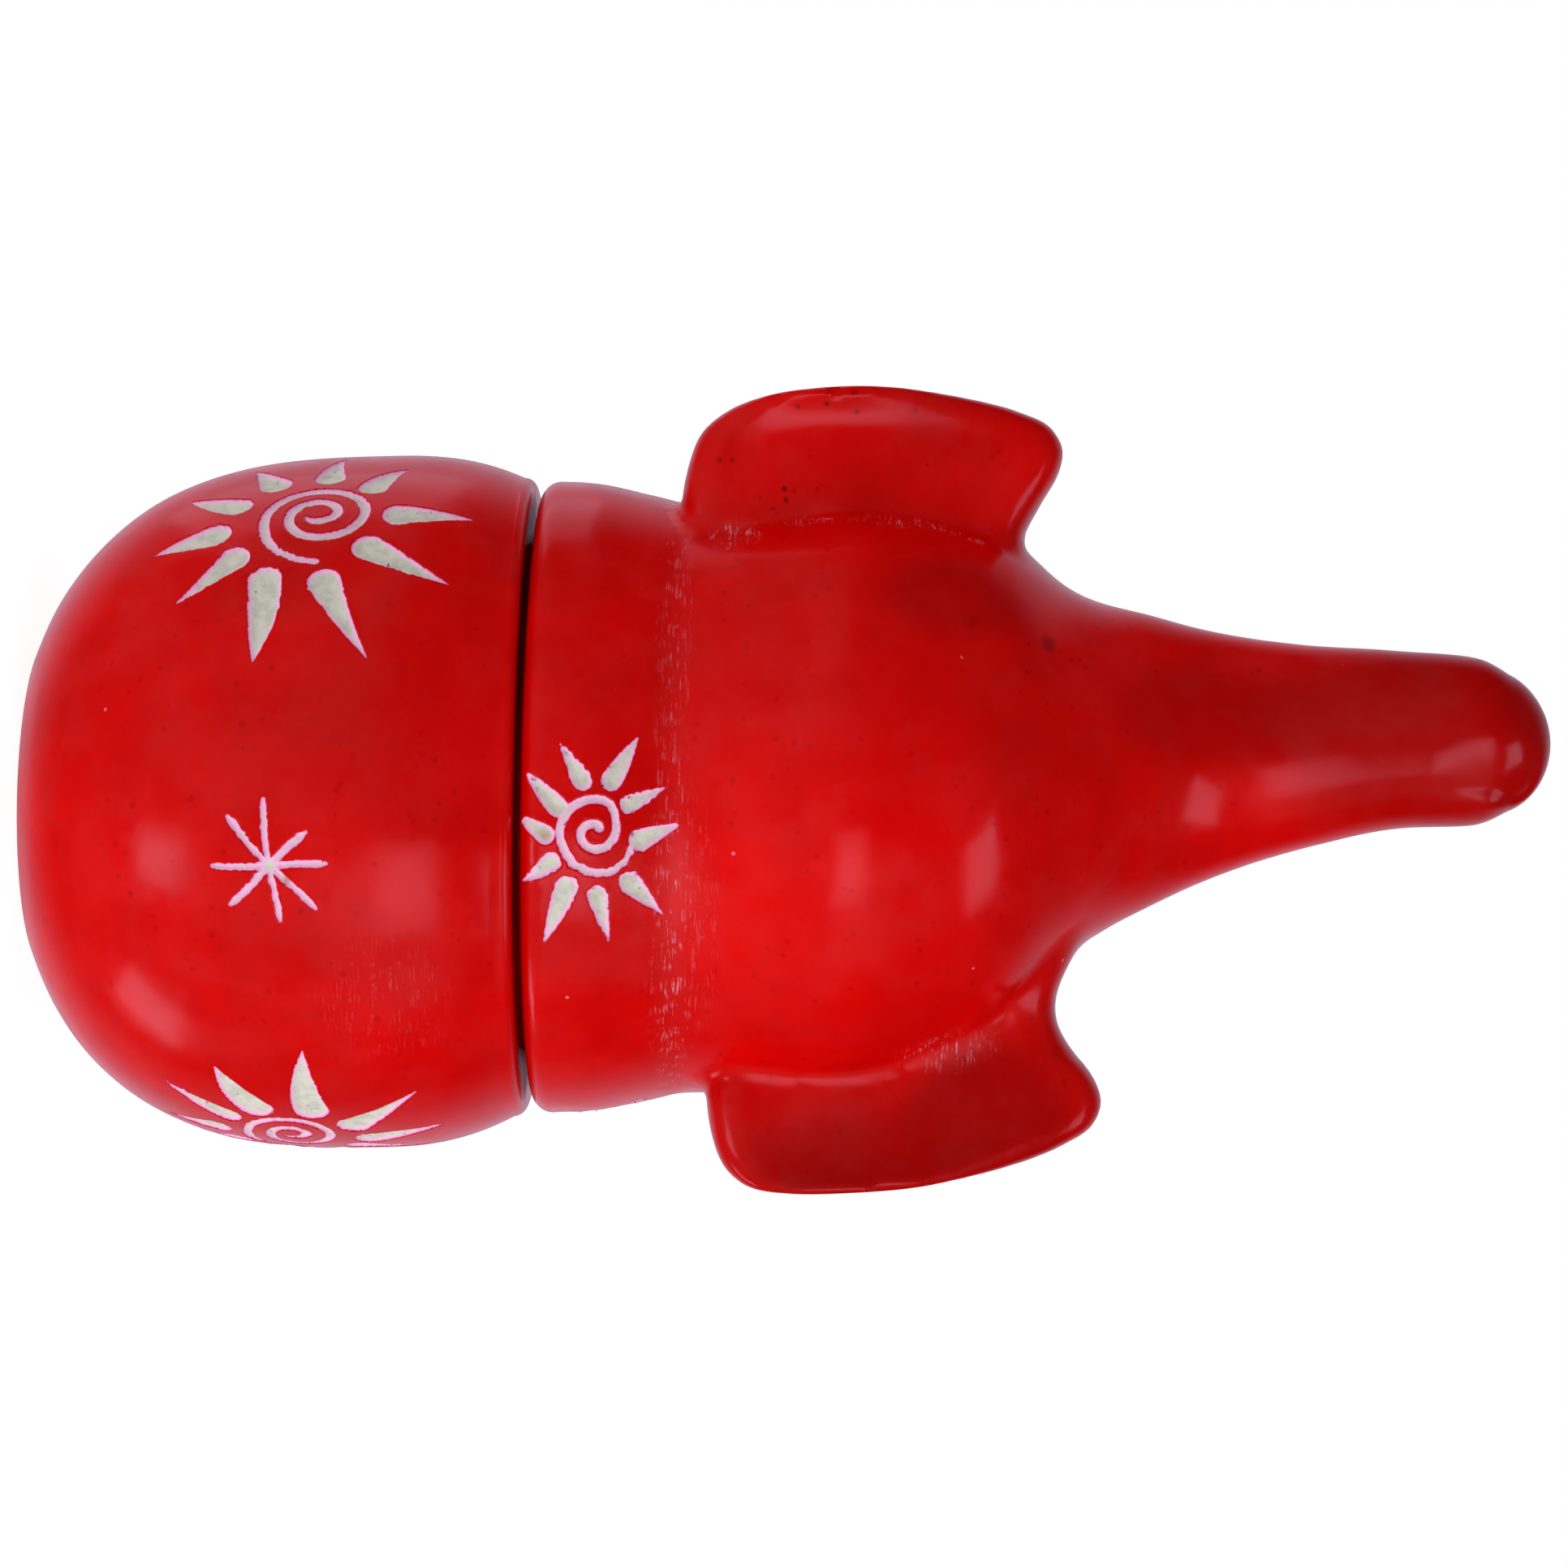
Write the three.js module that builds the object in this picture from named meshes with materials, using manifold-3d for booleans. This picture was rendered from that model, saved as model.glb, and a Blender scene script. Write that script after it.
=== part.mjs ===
// A lidded jar carved from two blocks of soft stone: a round pot, and a lid in the shape of an
// elephant's head with its trunk raised as the handle.
// Millimetres, +Z up. The origin is where the axis of the mouth meets the plane of the foot.
// The elephant's forehead faces -Y, its throat +Y, and its ears stand out along X.

import * as THREE from "three";
import { mergeVertices } from "three/addons/utils/BufferGeometryUtils.js";
import Module from "manifold-3d";

// ---- Driving sizes ----

// The pot's outside.
const potHeight = 47.5; // foot to rim
const footRadius = 15.9;
const footOffset = 1.35; // how far the hand-carved foot sits off the mouth's axis, along +X
const bellyRadius = 33.65;
const bellyHeight = 34;
const rimRadius = 30.6;
const rimRounding = 0.8;

// The pot's hollow.
const potFloor = 8; // thickness of stone under the hollow
const bellyWall = 9.15; // thickness of stone at the belly
const hollowCorner = 9; // rounding between the hollow's floor and its wall
const hollowNeck = 4; // depth of the straight part of the mouth below the rim

// The register: a lip on the pot that the lid drops over.
const seatWidth = 5.9; // the flat rim outside the lip
const lipWall = 3.2;
const lipHeight = 3.6; // above the rim
const lipRounding = 0.7;
const lipClearance = 0.45; // between the lip and the lid's recess, all round
const seatClearance = 0.3; // between the top of the lip and the recess's ceiling
const seamGap = 0.65; // the dark line left between the rim and the lid

// The lid's outside, from its lower edge up.
const bandOverhang = 0.15; // how far the lid's band stands out past the pot's rim
const bandTaper = 1.3; // how much the band draws in towards the neck
const bandRounding = 1.6; // of the lid's lower edge
const neckRadius = 28.7;
const neckHeight = 14.5; // lower edge to the neck
const crownDepth = 30.6; // axis to the top of the head, towards -Y
const throatDepth = 28.2; // axis to the throat, towards +Y
const headLength = 36; // neck to the root of the trunk
const trunkLength = 47.2; // root of the trunk to its tip
const jawReach = 19.5; // axis to the lower lip, which stands out under the root of the trunk
const mouthDepth = 10.6; // axis to the mouth's corner behind the lip
const trunkRootWidth = 37; // across the root of the trunk
const trunkTipWidth = 16; // across the trunk just short of its tip
const trunkDip = 9.5; // axis to the trunk's back where it lies lowest
const trunkRise = 13; // axis to the trunk's back where its end curls up
const tipUnderside = 1.6; // axis to the trunk's underside just short of its tip
const headLean = 4.3; // degrees that the carved head leans to -X
const trunkOffset = 6.8; // how far the trunk's end sits to -X of the mouth's axis

// The lid's hollow.
const lidHollowRadius = 19;
const lidHollowDepth = 9; // above the recess's ceiling
const lidHollowCorner = 5;

// The ears.
const earReach = 37.9; // axis to the outer edge
const earBack = 16; // lower edge of the lid to the ear's rear edge
const earLength = 36.5; // along Z
const earFace = 13; // height of the ear's face over the axis where it leaves the head
const earRise = 4.8; // how much further the face rises to its outer edge
const earDroop = 2.2; // how much the face falls from the ear's rear edge to its front edge
const earThickness = 5.4; // at the outer edge
const earRoot = 10; // thickness inside the head

// ---- Radii and levels worked out from them ----

const lidBase = potHeight + seamGap;
const lipTop = potHeight + lipHeight;
const lipRadius = rimRadius - seatWidth;
const mouthRadius = lipRadius - lipWall;
const hollowRadius = bellyRadius - bellyWall;
const bandRadius = rimRadius + bandOverhang;
const recessCeiling = lipTop + seatClearance;
const neckLevel = lidBase + neckHeight;
const rootLevel = neckLevel + headLength;
const tipLevel = rootLevel + trunkLength;

// ---- Helpers ----

const AROUND = 44; // segments round the big turned shapes

const wasm = await Module();
wasm.setup();

/** A geometry's closed surface as a solid that can be joined and cut. */
function solid(geometry) {
  const bare = geometry.clone();
  bare.deleteAttribute("normal");
  bare.deleteAttribute("uv");
  const merged = mergeVertices(bare, 1e-4);
  return new wasm.Manifold(
    new wasm.Mesh({
      numProp: 3,
      vertProperties: merged.attributes.position.array,
      triVerts: new Uint32Array(merged.index.array),
    }),
  );
}

/** A solid's surface as a named mesh. */
function meshOf(name, made, material) {
  const { numProp, numVert, vertProperties, triVerts } = made.getMesh();
  const places = new Float32Array(numVert * 3);
  for (let i = 0; i < numVert; i++) {
    places.set(vertProperties.subarray(i * numProp, i * numProp + 3), i * 3);
  }
  const geometry = new THREE.BufferGeometry();
  geometry.setAttribute("position", new THREE.BufferAttribute(places, 3));
  geometry.setIndex(new THREE.BufferAttribute(triVerts, 1));
  geometry.computeVertexNormals();
  const mesh = new THREE.Mesh(geometry, material);
  mesh.name = name;
  return mesh;
}

/** A shape turned about +Z from its outline of [radius, height] points, lowest first. */
function turned(outline) {
  const profile = outline.map(([radius, height]) => new THREE.Vector2(radius, height));
  return new THREE.LatheGeometry(profile, AROUND).rotateX(Math.PI / 2);
}

/** Moves each vertex of a geometry with a function that changes the point it is given. */
function reshape(geometry, move) {
  const places = geometry.attributes.position;
  const point = new THREE.Vector3();
  for (let i = 0; i < places.count; i++) {
    point.fromBufferAttribute(places, i);
    move(point);
    places.setXYZ(i, point.x, point.y, point.z);
  }
  return geometry;
}

/** Points on a quarter turn about a centre, from one angle to another in degrees. */
function arc([x, y], radius, from, to, steps = 4) {
  return Array.from({ length: steps + 1 }, (_, i) => {
    const angle = THREE.MathUtils.degToRad(from + ((to - from) * i) / steps);
    return [x + radius * Math.cos(angle), y + radius * Math.sin(angle)];
  });
}

/** A smooth function of height that passes through the given [height, value] knots. */
function through(knots) {
  const slope = (i) => {
    const low = Math.max(i - 1, 0);
    const high = Math.min(i + 1, knots.length - 1);
    return (knots[high][1] - knots[low][1]) / (knots[high][0] - knots[low][0]);
  };
  return (height) => {
    const after = knots.findIndex(([level]) => level > height);
    if (after === 0) return knots[0][1];
    if (after < 0) return knots.at(-1)[1];
    const [h0, v0] = knots[after - 1];
    const [h1, v1] = knots[after];
    const step = h1 - h0;
    const t = (height - h0) / step;
    const bendIn = slope(after - 1) * step;
    const bendOut = slope(after) * step;
    return (
      v0 * (2 * t ** 3 - 3 * t ** 2 + 1) +
      bendIn * (t ** 3 - 2 * t ** 2 + t) +
      v1 * (3 * t ** 2 - 2 * t ** 3) +
      bendOut * (t ** 3 - t ** 2)
    );
  };
}

// ---- The pot ----

/** The bowl's radius at a height: one superellipse up to the belly, a rounder one above it. */
function potRadius(height) {
  const foot = 1 - (footRadius / bellyRadius) ** 2.1;
  const rim = 1 - (rimRadius / bellyRadius) ** 2;
  if (height < bellyHeight) {
    const share = ((bellyHeight - height) / bellyHeight) ** 2.9;
    return bellyRadius * (1 - foot * share) ** (1 / 2.1);
  }
  const share = ((height - bellyHeight) / (potHeight - bellyHeight)) ** 2.2;
  return bellyRadius * Math.sqrt(1 - rim * share);
}

function potSkin() {
  const steps = 20;
  const side = [];
  for (let i = 0; i <= steps; i++) {
    // Heights crowd together near the foot, where the bowl turns in fastest.
    const height = (potHeight - rimRounding) * (i / steps) ** 1.35;
    side.push([potRadius(height), height]);
  }
  const edge = side.at(-1)[0];
  const corner = [edge - rimRounding, potHeight - rimRounding];
  const outline = [[0, 0], ...side, ...arc(corner, rimRounding, 30, 90, 2), [0, potHeight]];
  return reshape(turned(outline), (p) => {
    p.x += footOffset * (1 - (p.z / potHeight) ** 2);
  });
}

function potHollow() {
  const top = lipTop + 1;
  const shoulder = potHeight - hollowNeck;
  const widest = (potFloor + hollowCorner + shoulder) / 2;
  const centre = [hollowRadius - hollowCorner, potFloor + hollowCorner];
  return turned([
    [0, potFloor],
    ...arc(centre, hollowCorner, -90, 0, 5),
    [hollowRadius, widest],
    [(hollowRadius + mouthRadius) / 2, (widest + shoulder) / 2 + 3],
    [mouthRadius, shoulder],
    [mouthRadius, top],
    [0, top],
  ]);
}

function potLip() {
  const buried = potHeight - 2;
  return turned([
    [0, buried],
    [lipRadius, buried],
    [lipRadius, lipTop - lipRounding],
    [lipRadius - lipRounding, lipTop],
    [0, lipTop],
  ]);
}

function pot(material) {
  const made = solid(potSkin()).add(solid(potLip())).subtract(solid(potHollow()));
  return meshOf("jar_pot", made, material);
}

// ---- The lid ----

// The round band from the lid's lower edge to the neck.
const band = [
  [lidBase + bandRounding, bandRadius],
  [lidBase + neckHeight * 0.41, bandRadius - bandTaper * 0.19],
  [lidBase + neckHeight * 0.76, bandRadius - bandTaper],
  [neckLevel, neckRadius],
];

// Each function gives a distance from the lid's centre line by height.
const halfWidth = through([
  ...band,
  [neckLevel + headLength * 0.2, neckRadius + 0.3],
  [neckLevel + headLength * 0.45, neckRadius + 0.2],
  [neckLevel + headLength * 0.68, neckRadius - 1.6],
  [neckLevel + headLength * 0.84, neckRadius - 4.6],
  [rootLevel, trunkRootWidth / 2],
  [rootLevel + trunkLength * 0.08, trunkRootWidth * 0.435],
  [rootLevel + trunkLength * 0.2, trunkRootWidth * 0.375],
  [rootLevel + trunkLength * 0.37, trunkRootWidth * 0.305],
  [rootLevel + trunkLength * 0.53, trunkTipWidth * 0.605],
  [rootLevel + trunkLength * 0.7, trunkTipWidth * 0.535],
  [rootLevel + trunkLength * 0.85, trunkTipWidth / 2],
  [rootLevel + trunkLength * 0.91, trunkTipWidth * 0.455],
]);
const topDepth = through([
  ...band,
  [neckLevel + headLength * 0.2, crownDepth - 1.1],
  [neckLevel + headLength * 0.43, crownDepth],
  [neckLevel + headLength * 0.62, crownDepth - 1.3],
  [neckLevel + headLength * 0.8, crownDepth - 3.4],
  [rootLevel, crownDepth - 9.5],
  [rootLevel + trunkLength * 0.15, trunkDip + 5.1],
  [rootLevel + trunkLength * 0.28, trunkDip + 1.1],
  [rootLevel + trunkLength * 0.4, trunkDip],
  [rootLevel + trunkLength * 0.55, trunkDip + 0.6],
  [rootLevel + trunkLength * 0.72, trunkRise - 1.3],
  [rootLevel + trunkLength * 0.87, trunkRise],
  [tipLevel, trunkRise - 0.6],
]);
const throatSide = through([
  ...band,
  [neckLevel + headLength * 0.25, throatDepth + 0.4],
  [neckLevel + headLength * 0.5, throatDepth - 0.4],
  [neckLevel + headLength * 0.72, throatDepth - 2.8],
  [neckLevel + headLength * 0.88, jawReach + 3],
  [rootLevel, jawReach],
  [rootLevel + trunkLength * 0.045, mouthDepth],
  [rootLevel + trunkLength * 0.13, mouthDepth - 0.7],
  [rootLevel + trunkLength * 0.28, mouthDepth - 2],
  [rootLevel + trunkLength * 0.45, mouthDepth - 3],
  [rootLevel + trunkLength * 0.62, tipUnderside + 4.4],
  [rootLevel + trunkLength * 0.8, tipUnderside + 2],
  [rootLevel + trunkLength * 0.92, tipUnderside],
  [tipLevel, tipUnderside - 1.2],
]);

const lean = THREE.MathUtils.degToRad(headLean);
const centreLine = through([
  [neckLevel - 5, 0],
  [neckLevel, -0.1],
  [neckLevel + headLength * 0.5, -lean * headLength * 0.42],
  [rootLevel, -lean * headLength * 1.07],
  [rootLevel + trunkLength * 0.17, -trunkOffset * 0.63],
  [rootLevel + trunkLength * 0.34, -trunkOffset * 0.76],
  [rootLevel + trunkLength * 0.5, -trunkOffset * 0.885],
  [rootLevel + trunkLength * 0.7, -trunkOffset],
  [tipLevel, -trunkOffset * 0.95],
]);

function lidSkin() {
  const rings = 40;
  const tipRings = 5;
  const tipRounding = trunkTipWidth * 0.42;
  const outline = [[0, lidBase], [rimRadius / bandRadius - 0.005, lidBase]];
  outline.push([1 - 0.29 * (1 - rimRadius / bandRadius), lidBase + bandRounding * 0.45]);
  const start = lidBase + bandRounding;
  const end = tipLevel - tipRounding;
  for (let i = 0; i <= rings; i++) outline.push([1, start + ((end - start) * i) / rings]);
  for (let i = 1; i <= tipRings; i++) {
    const angle = (Math.PI / 2) * (i / tipRings);
    outline.push([Math.cos(angle), end + tipRounding * Math.sin(angle)]);
  }
  outline.at(-1)[0] = 0;
  return reshape(turned(outline), (p) => {
    const up = topDepth(p.z);
    const down = throatSide(p.z);
    p.x *= halfWidth(p.z);
    p.x += centreLine(p.z);
    p.y = (down - up) / 2 + (p.y * (down + up)) / 2;
  });
}

/** One ear: a rounded disc pulled out to the ear's outline, dished and thinned to its edge. */
function ear(side) {
  const z = (share) => lidBase + earBack + earLength * share;
  const x = (inset) => earReach - inset;
  const rim = new THREE.CatmullRomCurve3(
    [
      [x(21.5), z(0.055)],
      [x(10.9), z(-0.005)],
      [x(5.3), z(0.03)],
      [x(3), z(0.065)],
      [x(1.3), z(0.135)],
      [x(0.3), z(0.24)],
      [x(0), z(0.36)],
      [x(0.2), z(0.5)],
      [x(1), z(0.66)],
      [x(2.3), z(0.79)],
      [x(3.7), z(0.885)],
      [x(5.3), z(0.965)],
      [x(7.3), z(1)],
      [x(9.3), z(0.985)],
      [x(11.9), z(0.935)],
      [x(14.9), z(0.885)],
      [x(21.5), z(0.86)],
    ].map(([along, up]) => new THREE.Vector3(along, 0, up)),
    true,
    "centripetal",
  );
  const core = new THREE.Vector3(earReach - 10, 0, z(0.45));
  const half = 0.5;
  const disc = [[0, -half], [0.35, -half], [0.65, -half], [0.86, -half]];
  disc.push([0.955, -0.44], [1, -0.2], [1, 0.2], [0.955, 0.44]);
  disc.push([0.86, half], [0.65, half], [0.35, half], [0, half]);
  return reshape(turned(disc), (p) => {
    const share = Math.hypot(p.x, p.y);
    const level = p.z;
    // The outline runs the other way round on the mirrored ear, which keeps its faces outward.
    const turn = ((-side * Math.atan2(p.y, p.x)) / (2 * Math.PI) + 1) % 1;
    const edge = rim.getPointAt(turn);
    const along = THREE.MathUtils.lerp(core.x, edge.x, share);
    const up = THREE.MathUtils.lerp(core.z, edge.z, share);
    const out = THREE.MathUtils.clamp((along - neckRadius + 3) / (earReach - neckRadius + 3), 0, 1);
    const face = earFace + earRise * out ** 1.4 - earDroop * ((up - z(0.1)) / earLength);
    const thick = THREE.MathUtils.lerp(earRoot, earThickness, out ** 0.6);
    p.set(side * along, thick * (half + level) - face, up - neckLevel);
    p.applyAxisAngle(new THREE.Vector3(0, 1, 0), -lean);
    p.z += neckLevel;
  });
}

function lidHollow() {
  const below = lidBase - 1;
  const recess = lipRadius + lipClearance;
  const top = recessCeiling + lidHollowDepth;
  return turned([
    [0, below],
    [recess, below],
    [recess, recessCeiling],
    [lidHollowRadius, recessCeiling],
    ...arc([lidHollowRadius - lidHollowCorner, top - lidHollowCorner], lidHollowCorner, 0, 90),
    [0, top],
  ]);
}

function lid(material) {
  let made = solid(lidSkin());
  for (const side of [-1, 1]) {
    made = made.add(solid(ear(side)));
  }
  made = made.subtract(solid(lidHollow()));
  return meshOf("elephant_lid", made, material);
}

// ---- The jar ----

const redStone = new THREE.MeshStandardMaterial({ color: 0xc00404, roughness: 0.4, metalness: 0 });

const jar = new THREE.Group();
jar.add(pot(redStone), lid(redStone));

export default jar;
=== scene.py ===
"""A lidded jar carved from two blocks of red-dyed, waxed soapstone.

The pot is a squat bowl cut with suns and stars, and the lid is an elephant's head whose raised
trunk is the handle. The forehead faces -Y, the throat +Y, and the ears stand out along X.
Shapes are worked out in millimetres and turned into metres when a piece is finished.
"""

import logging
import math
from collections.abc import Callable
from dataclasses import dataclass, field
from enum import Enum

import bmesh
import bpy
import numpy as np
from mathutils import Matrix, Vector, noise
from mathutils.bvhtree import BVHTree


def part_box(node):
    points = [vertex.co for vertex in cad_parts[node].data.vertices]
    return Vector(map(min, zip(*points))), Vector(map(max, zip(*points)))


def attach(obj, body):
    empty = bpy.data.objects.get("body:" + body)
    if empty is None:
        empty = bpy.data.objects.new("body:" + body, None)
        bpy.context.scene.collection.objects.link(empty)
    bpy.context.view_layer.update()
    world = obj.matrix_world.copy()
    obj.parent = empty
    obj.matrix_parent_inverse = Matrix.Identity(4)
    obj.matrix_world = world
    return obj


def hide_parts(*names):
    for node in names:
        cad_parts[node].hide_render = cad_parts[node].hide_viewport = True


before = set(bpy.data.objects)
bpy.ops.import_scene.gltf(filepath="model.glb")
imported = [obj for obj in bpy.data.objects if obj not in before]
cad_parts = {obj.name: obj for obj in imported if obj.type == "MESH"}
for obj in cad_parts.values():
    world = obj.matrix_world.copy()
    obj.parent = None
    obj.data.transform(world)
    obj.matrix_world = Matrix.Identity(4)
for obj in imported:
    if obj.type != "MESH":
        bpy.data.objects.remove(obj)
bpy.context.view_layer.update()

log = logging.getLogger("jar")

MM = 0.001

Point = tuple[float, float]
Place = tuple[float, float, float]
Colour = tuple[float, float, float, float]
Socket = bpy.types.NodeSocket
Value = Socket | float


# ---- Smooth runs, wandering noise and vertex helpers ----


class Flow:
    """A smooth run of values through given knots, level beyond its two ends."""

    def __init__(self, knots: list[Point]) -> None:
        """Works out the slope at each knot.

        Args:
            knots: (place, value) pairs with rising places.
        """
        self.at = np.array([at for at, _ in knots], float)
        self.value = np.array([value for _, value in knots], float)
        index = np.arange(len(knots))
        low = np.maximum(index - 1, 0)
        high = np.minimum(index + 1, len(knots) - 1)
        self.slope = (self.value[high] - self.value[low]) / (self.at[high] - self.at[low])

    def __call__(self, where: np.ndarray) -> np.ndarray:
        """Reads the run.

        Args:
            where: places along it.

        Returns:
            The value at each place.
        """
        where = np.clip(np.asarray(where, float), self.at[0], self.at[-1])
        index = np.clip(np.searchsorted(self.at, where, side="right") - 1, 0, len(self.at) - 2)
        step = self.at[index + 1] - self.at[index]
        t = (where - self.at[index]) / step
        return (
            self.value[index] * (2 * t**3 - 3 * t**2 + 1)
            + self.slope[index] * step * (t**3 - 2 * t**2 + t)
            + self.value[index + 1] * (3 * t**2 - 2 * t**3)
            + self.slope[index + 1] * step * (t**3 - t**2)
        )


def smoothstep(low: float, high: float, value: np.ndarray) -> np.ndarray:
    """A soft step.

    Args:
        low: where it is still 0.
        high: where it has become 1.
        value: the numbers to map.

    Returns:
        Numbers from 0 to 1.
    """
    t = np.clip((value - low) / (high - low), 0, 1)
    return t * t * (3 - 2 * t)


def wander(points: np.ndarray, size: float, seed: float) -> np.ndarray:
    """Smooth noise in space.

    Args:
        points: places in millimetres.
        size: the length of one swell in millimetres.
        seed: picks a different noise.

    Returns:
        About -1 to 1 for each point.
    """
    shift = Vector((seed * 17.3, seed * 5.1, -seed * 9.7))
    return np.array([noise.noise(Vector(point) / size + shift) for point in points])


def places_of(bm: bmesh.types.BMesh) -> np.ndarray:
    """The mesh's vertex places as rows."""
    return np.array([vertex.co[:] for vertex in bm.verts], float)


def move_to(bm: bmesh.types.BMesh, places: np.ndarray) -> None:
    """Puts every vertex at its row's place."""
    for vertex, place in zip(bm.verts, places):
        vertex.co = place


def normals_of(bm: bmesh.types.BMesh) -> np.ndarray:
    """The mesh's vertex normals as rows."""
    bm.normal_update()
    return np.array([vertex.normal[:] for vertex in bm.verts], float)


def quarter(centre: Point, radius: float, start: float, end: float, steps: int) -> list[Point]:
    """Points on an arc.

    Args:
        centre: its centre.
        radius: its radius.
        start: first angle in degrees.
        end: last angle in degrees.
        steps: how many chords.

    Returns:
        The points in order.
    """
    angles = np.radians(np.linspace(start, end, steps + 1))
    return [(centre[0] + radius * math.cos(a), centre[1] + radius * math.sin(a)) for a in angles]


def evenly(outline: list[Point], spacing: float) -> list[Point]:
    """Fills the long steps of an outline.

    Args:
        outline: its points.
        spacing: the longest step allowed.

    Returns:
        The outline with points added on its straight stretches.
    """
    filled = [outline[0]]
    for here, there in zip(outline, outline[1:]):
        count = max(1, math.ceil(math.dist(here, there) / spacing))
        for step in range(1, count + 1):
            share = step / count
            filled.append(tuple(a + (b - a) * share for a, b in zip(here, there)))
    return filled


def spun(outline: list[Point], steps: int) -> bmesh.types.BMesh:
    """Turns an outline about +Z into one closed body.

    Args:
        outline: (radius, height) points that start and end on the axis.
        steps: divisions round the axis.

    Returns:
        A new bmesh with its faces pointing out.
    """
    bm = bmesh.new()
    rail = [bm.verts.new((radius, 0, height)) for radius, height in outline]
    edges = [bm.edges.new(pair) for pair in zip(rail, rail[1:])]
    bmesh.ops.spin(
        bm, geom=rail + edges, axis=(0, 0, 1), cent=(0, 0, 0), angle=math.tau, steps=steps,
        use_merge=True,
    )
    bmesh.ops.remove_doubles(bm, verts=bm.verts[:], dist=1e-4)
    bmesh.ops.dissolve_degenerate(bm, edges=bm.edges[:], dist=1e-5)
    bmesh.ops.recalc_face_normals(bm, faces=bm.faces[:])
    if bm.calc_volume(signed=True) < 0:
        bmesh.ops.reverse_faces(bm, faces=bm.faces[:])
    return bm


# ---- Gouged marks, each drawn on a flat chart in millimetres: across to +X, up to +Z ----


@dataclass(frozen=True)
class Drop:
    """One gouged ray, round at its root and drawn out to its tip."""

    root: Point
    tip: Point
    half_width: float
    fullness: float = 1.2
    bow: float = 0.0
    blunt: float = 0.04

    def inside(self, across: np.ndarray, up: np.ndarray) -> np.ndarray:
        """How far each chart point lies inside the mark.

        Args:
            across: chart coordinates to the side.
            up: chart coordinates upwards.

        Returns:
            Millimetres inside the edge, negative outside.
        """
        reach = math.dist(self.root, self.tip)
        unit = ((self.tip[0] - self.root[0]) / reach, (self.tip[1] - self.root[1]) / reach)
        side, rise = across - self.root[0], up - self.root[1]
        along = side * unit[0] + rise * unit[1]
        share = np.clip(along / reach, 0, 1)
        aside = rise * unit[0] - side * unit[1] - self.bow * 4 * share * (1 - share)
        half = self.blunt + (self.half_width - self.blunt) * (1 - share**self.fullness)
        body = half - np.abs(aside)
        root_end = self.half_width - np.hypot(along, aside)
        tip_end = self.blunt - np.hypot(along - reach, aside)
        return np.where(along < 0, root_end, np.where(along > reach, tip_end, body))


@dataclass(frozen=True)
class Stroke:
    """A line cut with a narrow gouge through a few points."""

    path: tuple[Point, ...]
    half_width: float
    start_width: float = 1.0
    end_width: float = 1.0

    def inside(self, across: np.ndarray, up: np.ndarray) -> np.ndarray:
        """How far each chart point lies inside the line.

        Args:
            across: chart coordinates to the side.
            up: chart coordinates upwards.

        Returns:
            Millimetres inside the edge, negative outside.
        """
        best = np.full(np.shape(across), -99.0)
        count = len(self.path) - 1
        for index, (here, there) in enumerate(zip(self.path, self.path[1:])):
            run = (there[0] - here[0], there[1] - here[1])
            square = run[0] ** 2 + run[1] ** 2
            share = ((across - here[0]) * run[0] + (up - here[1]) * run[1]) / square
            share = np.clip(share, 0, 1)
            gap = np.hypot(across - here[0] - share * run[0], up - here[1] - share * run[1])
            travel = (index + share) / count
            width = self.start_width + (1 - self.start_width) * smoothstep(0, 0.12, travel)
            width *= self.end_width + (1 - self.end_width) * smoothstep(0, 0.1, 1 - travel)
            best = np.maximum(best, self.half_width * width - gap)
        return best


def spiral(centre: Point, turns: list[Point], half_width: float, start: float) -> Stroke:
    """A hand-cut spiral.

    Args:
        centre: the chart point that it winds about.
        turns: (angle in degrees, radius) knots, which carry the carver's wobble.
        half_width: half the width of the line.
        start: the width of the inner end, as a share.

    Returns:
        The stroke.
    """
    radius = Flow(turns)
    angles = np.linspace(turns[0][0], turns[-1][0], 96)
    reach, turned = radius(angles), np.radians(angles)
    path = zip(centre[0] + reach * np.cos(turned), centre[1] + reach * np.sin(turned))
    return Stroke(tuple((float(a), float(b)) for a, b in path), half_width, start, 0.7)


def star_arms() -> list[Stroke]:
    """Draws the eight uneven arms of a small star.

    Returns:
        One stroke for each arm.
    """
    tips = [
        (-0.13, 5.15, 0.33), (3.97, 4.25, 0.31), (5.1, 1.0, 0.29), (3.6, -3.5, 0.38),
        (0.07, -5.15, 0.33), (-4.45, -3.75, 0.34), (-6.0, -0.53, 0.31), (-3.0, 3.3, 0.39),
    ]
    arms = []
    for across, up, half in tips:
        bend = (across * 0.5 - up * 0.02, up * 0.5 + across * 0.02)
        arms.append(Stroke(((0.0, 0.0), bend, (across, up)), half, 1.35, 0.62))
    return arms


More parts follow.
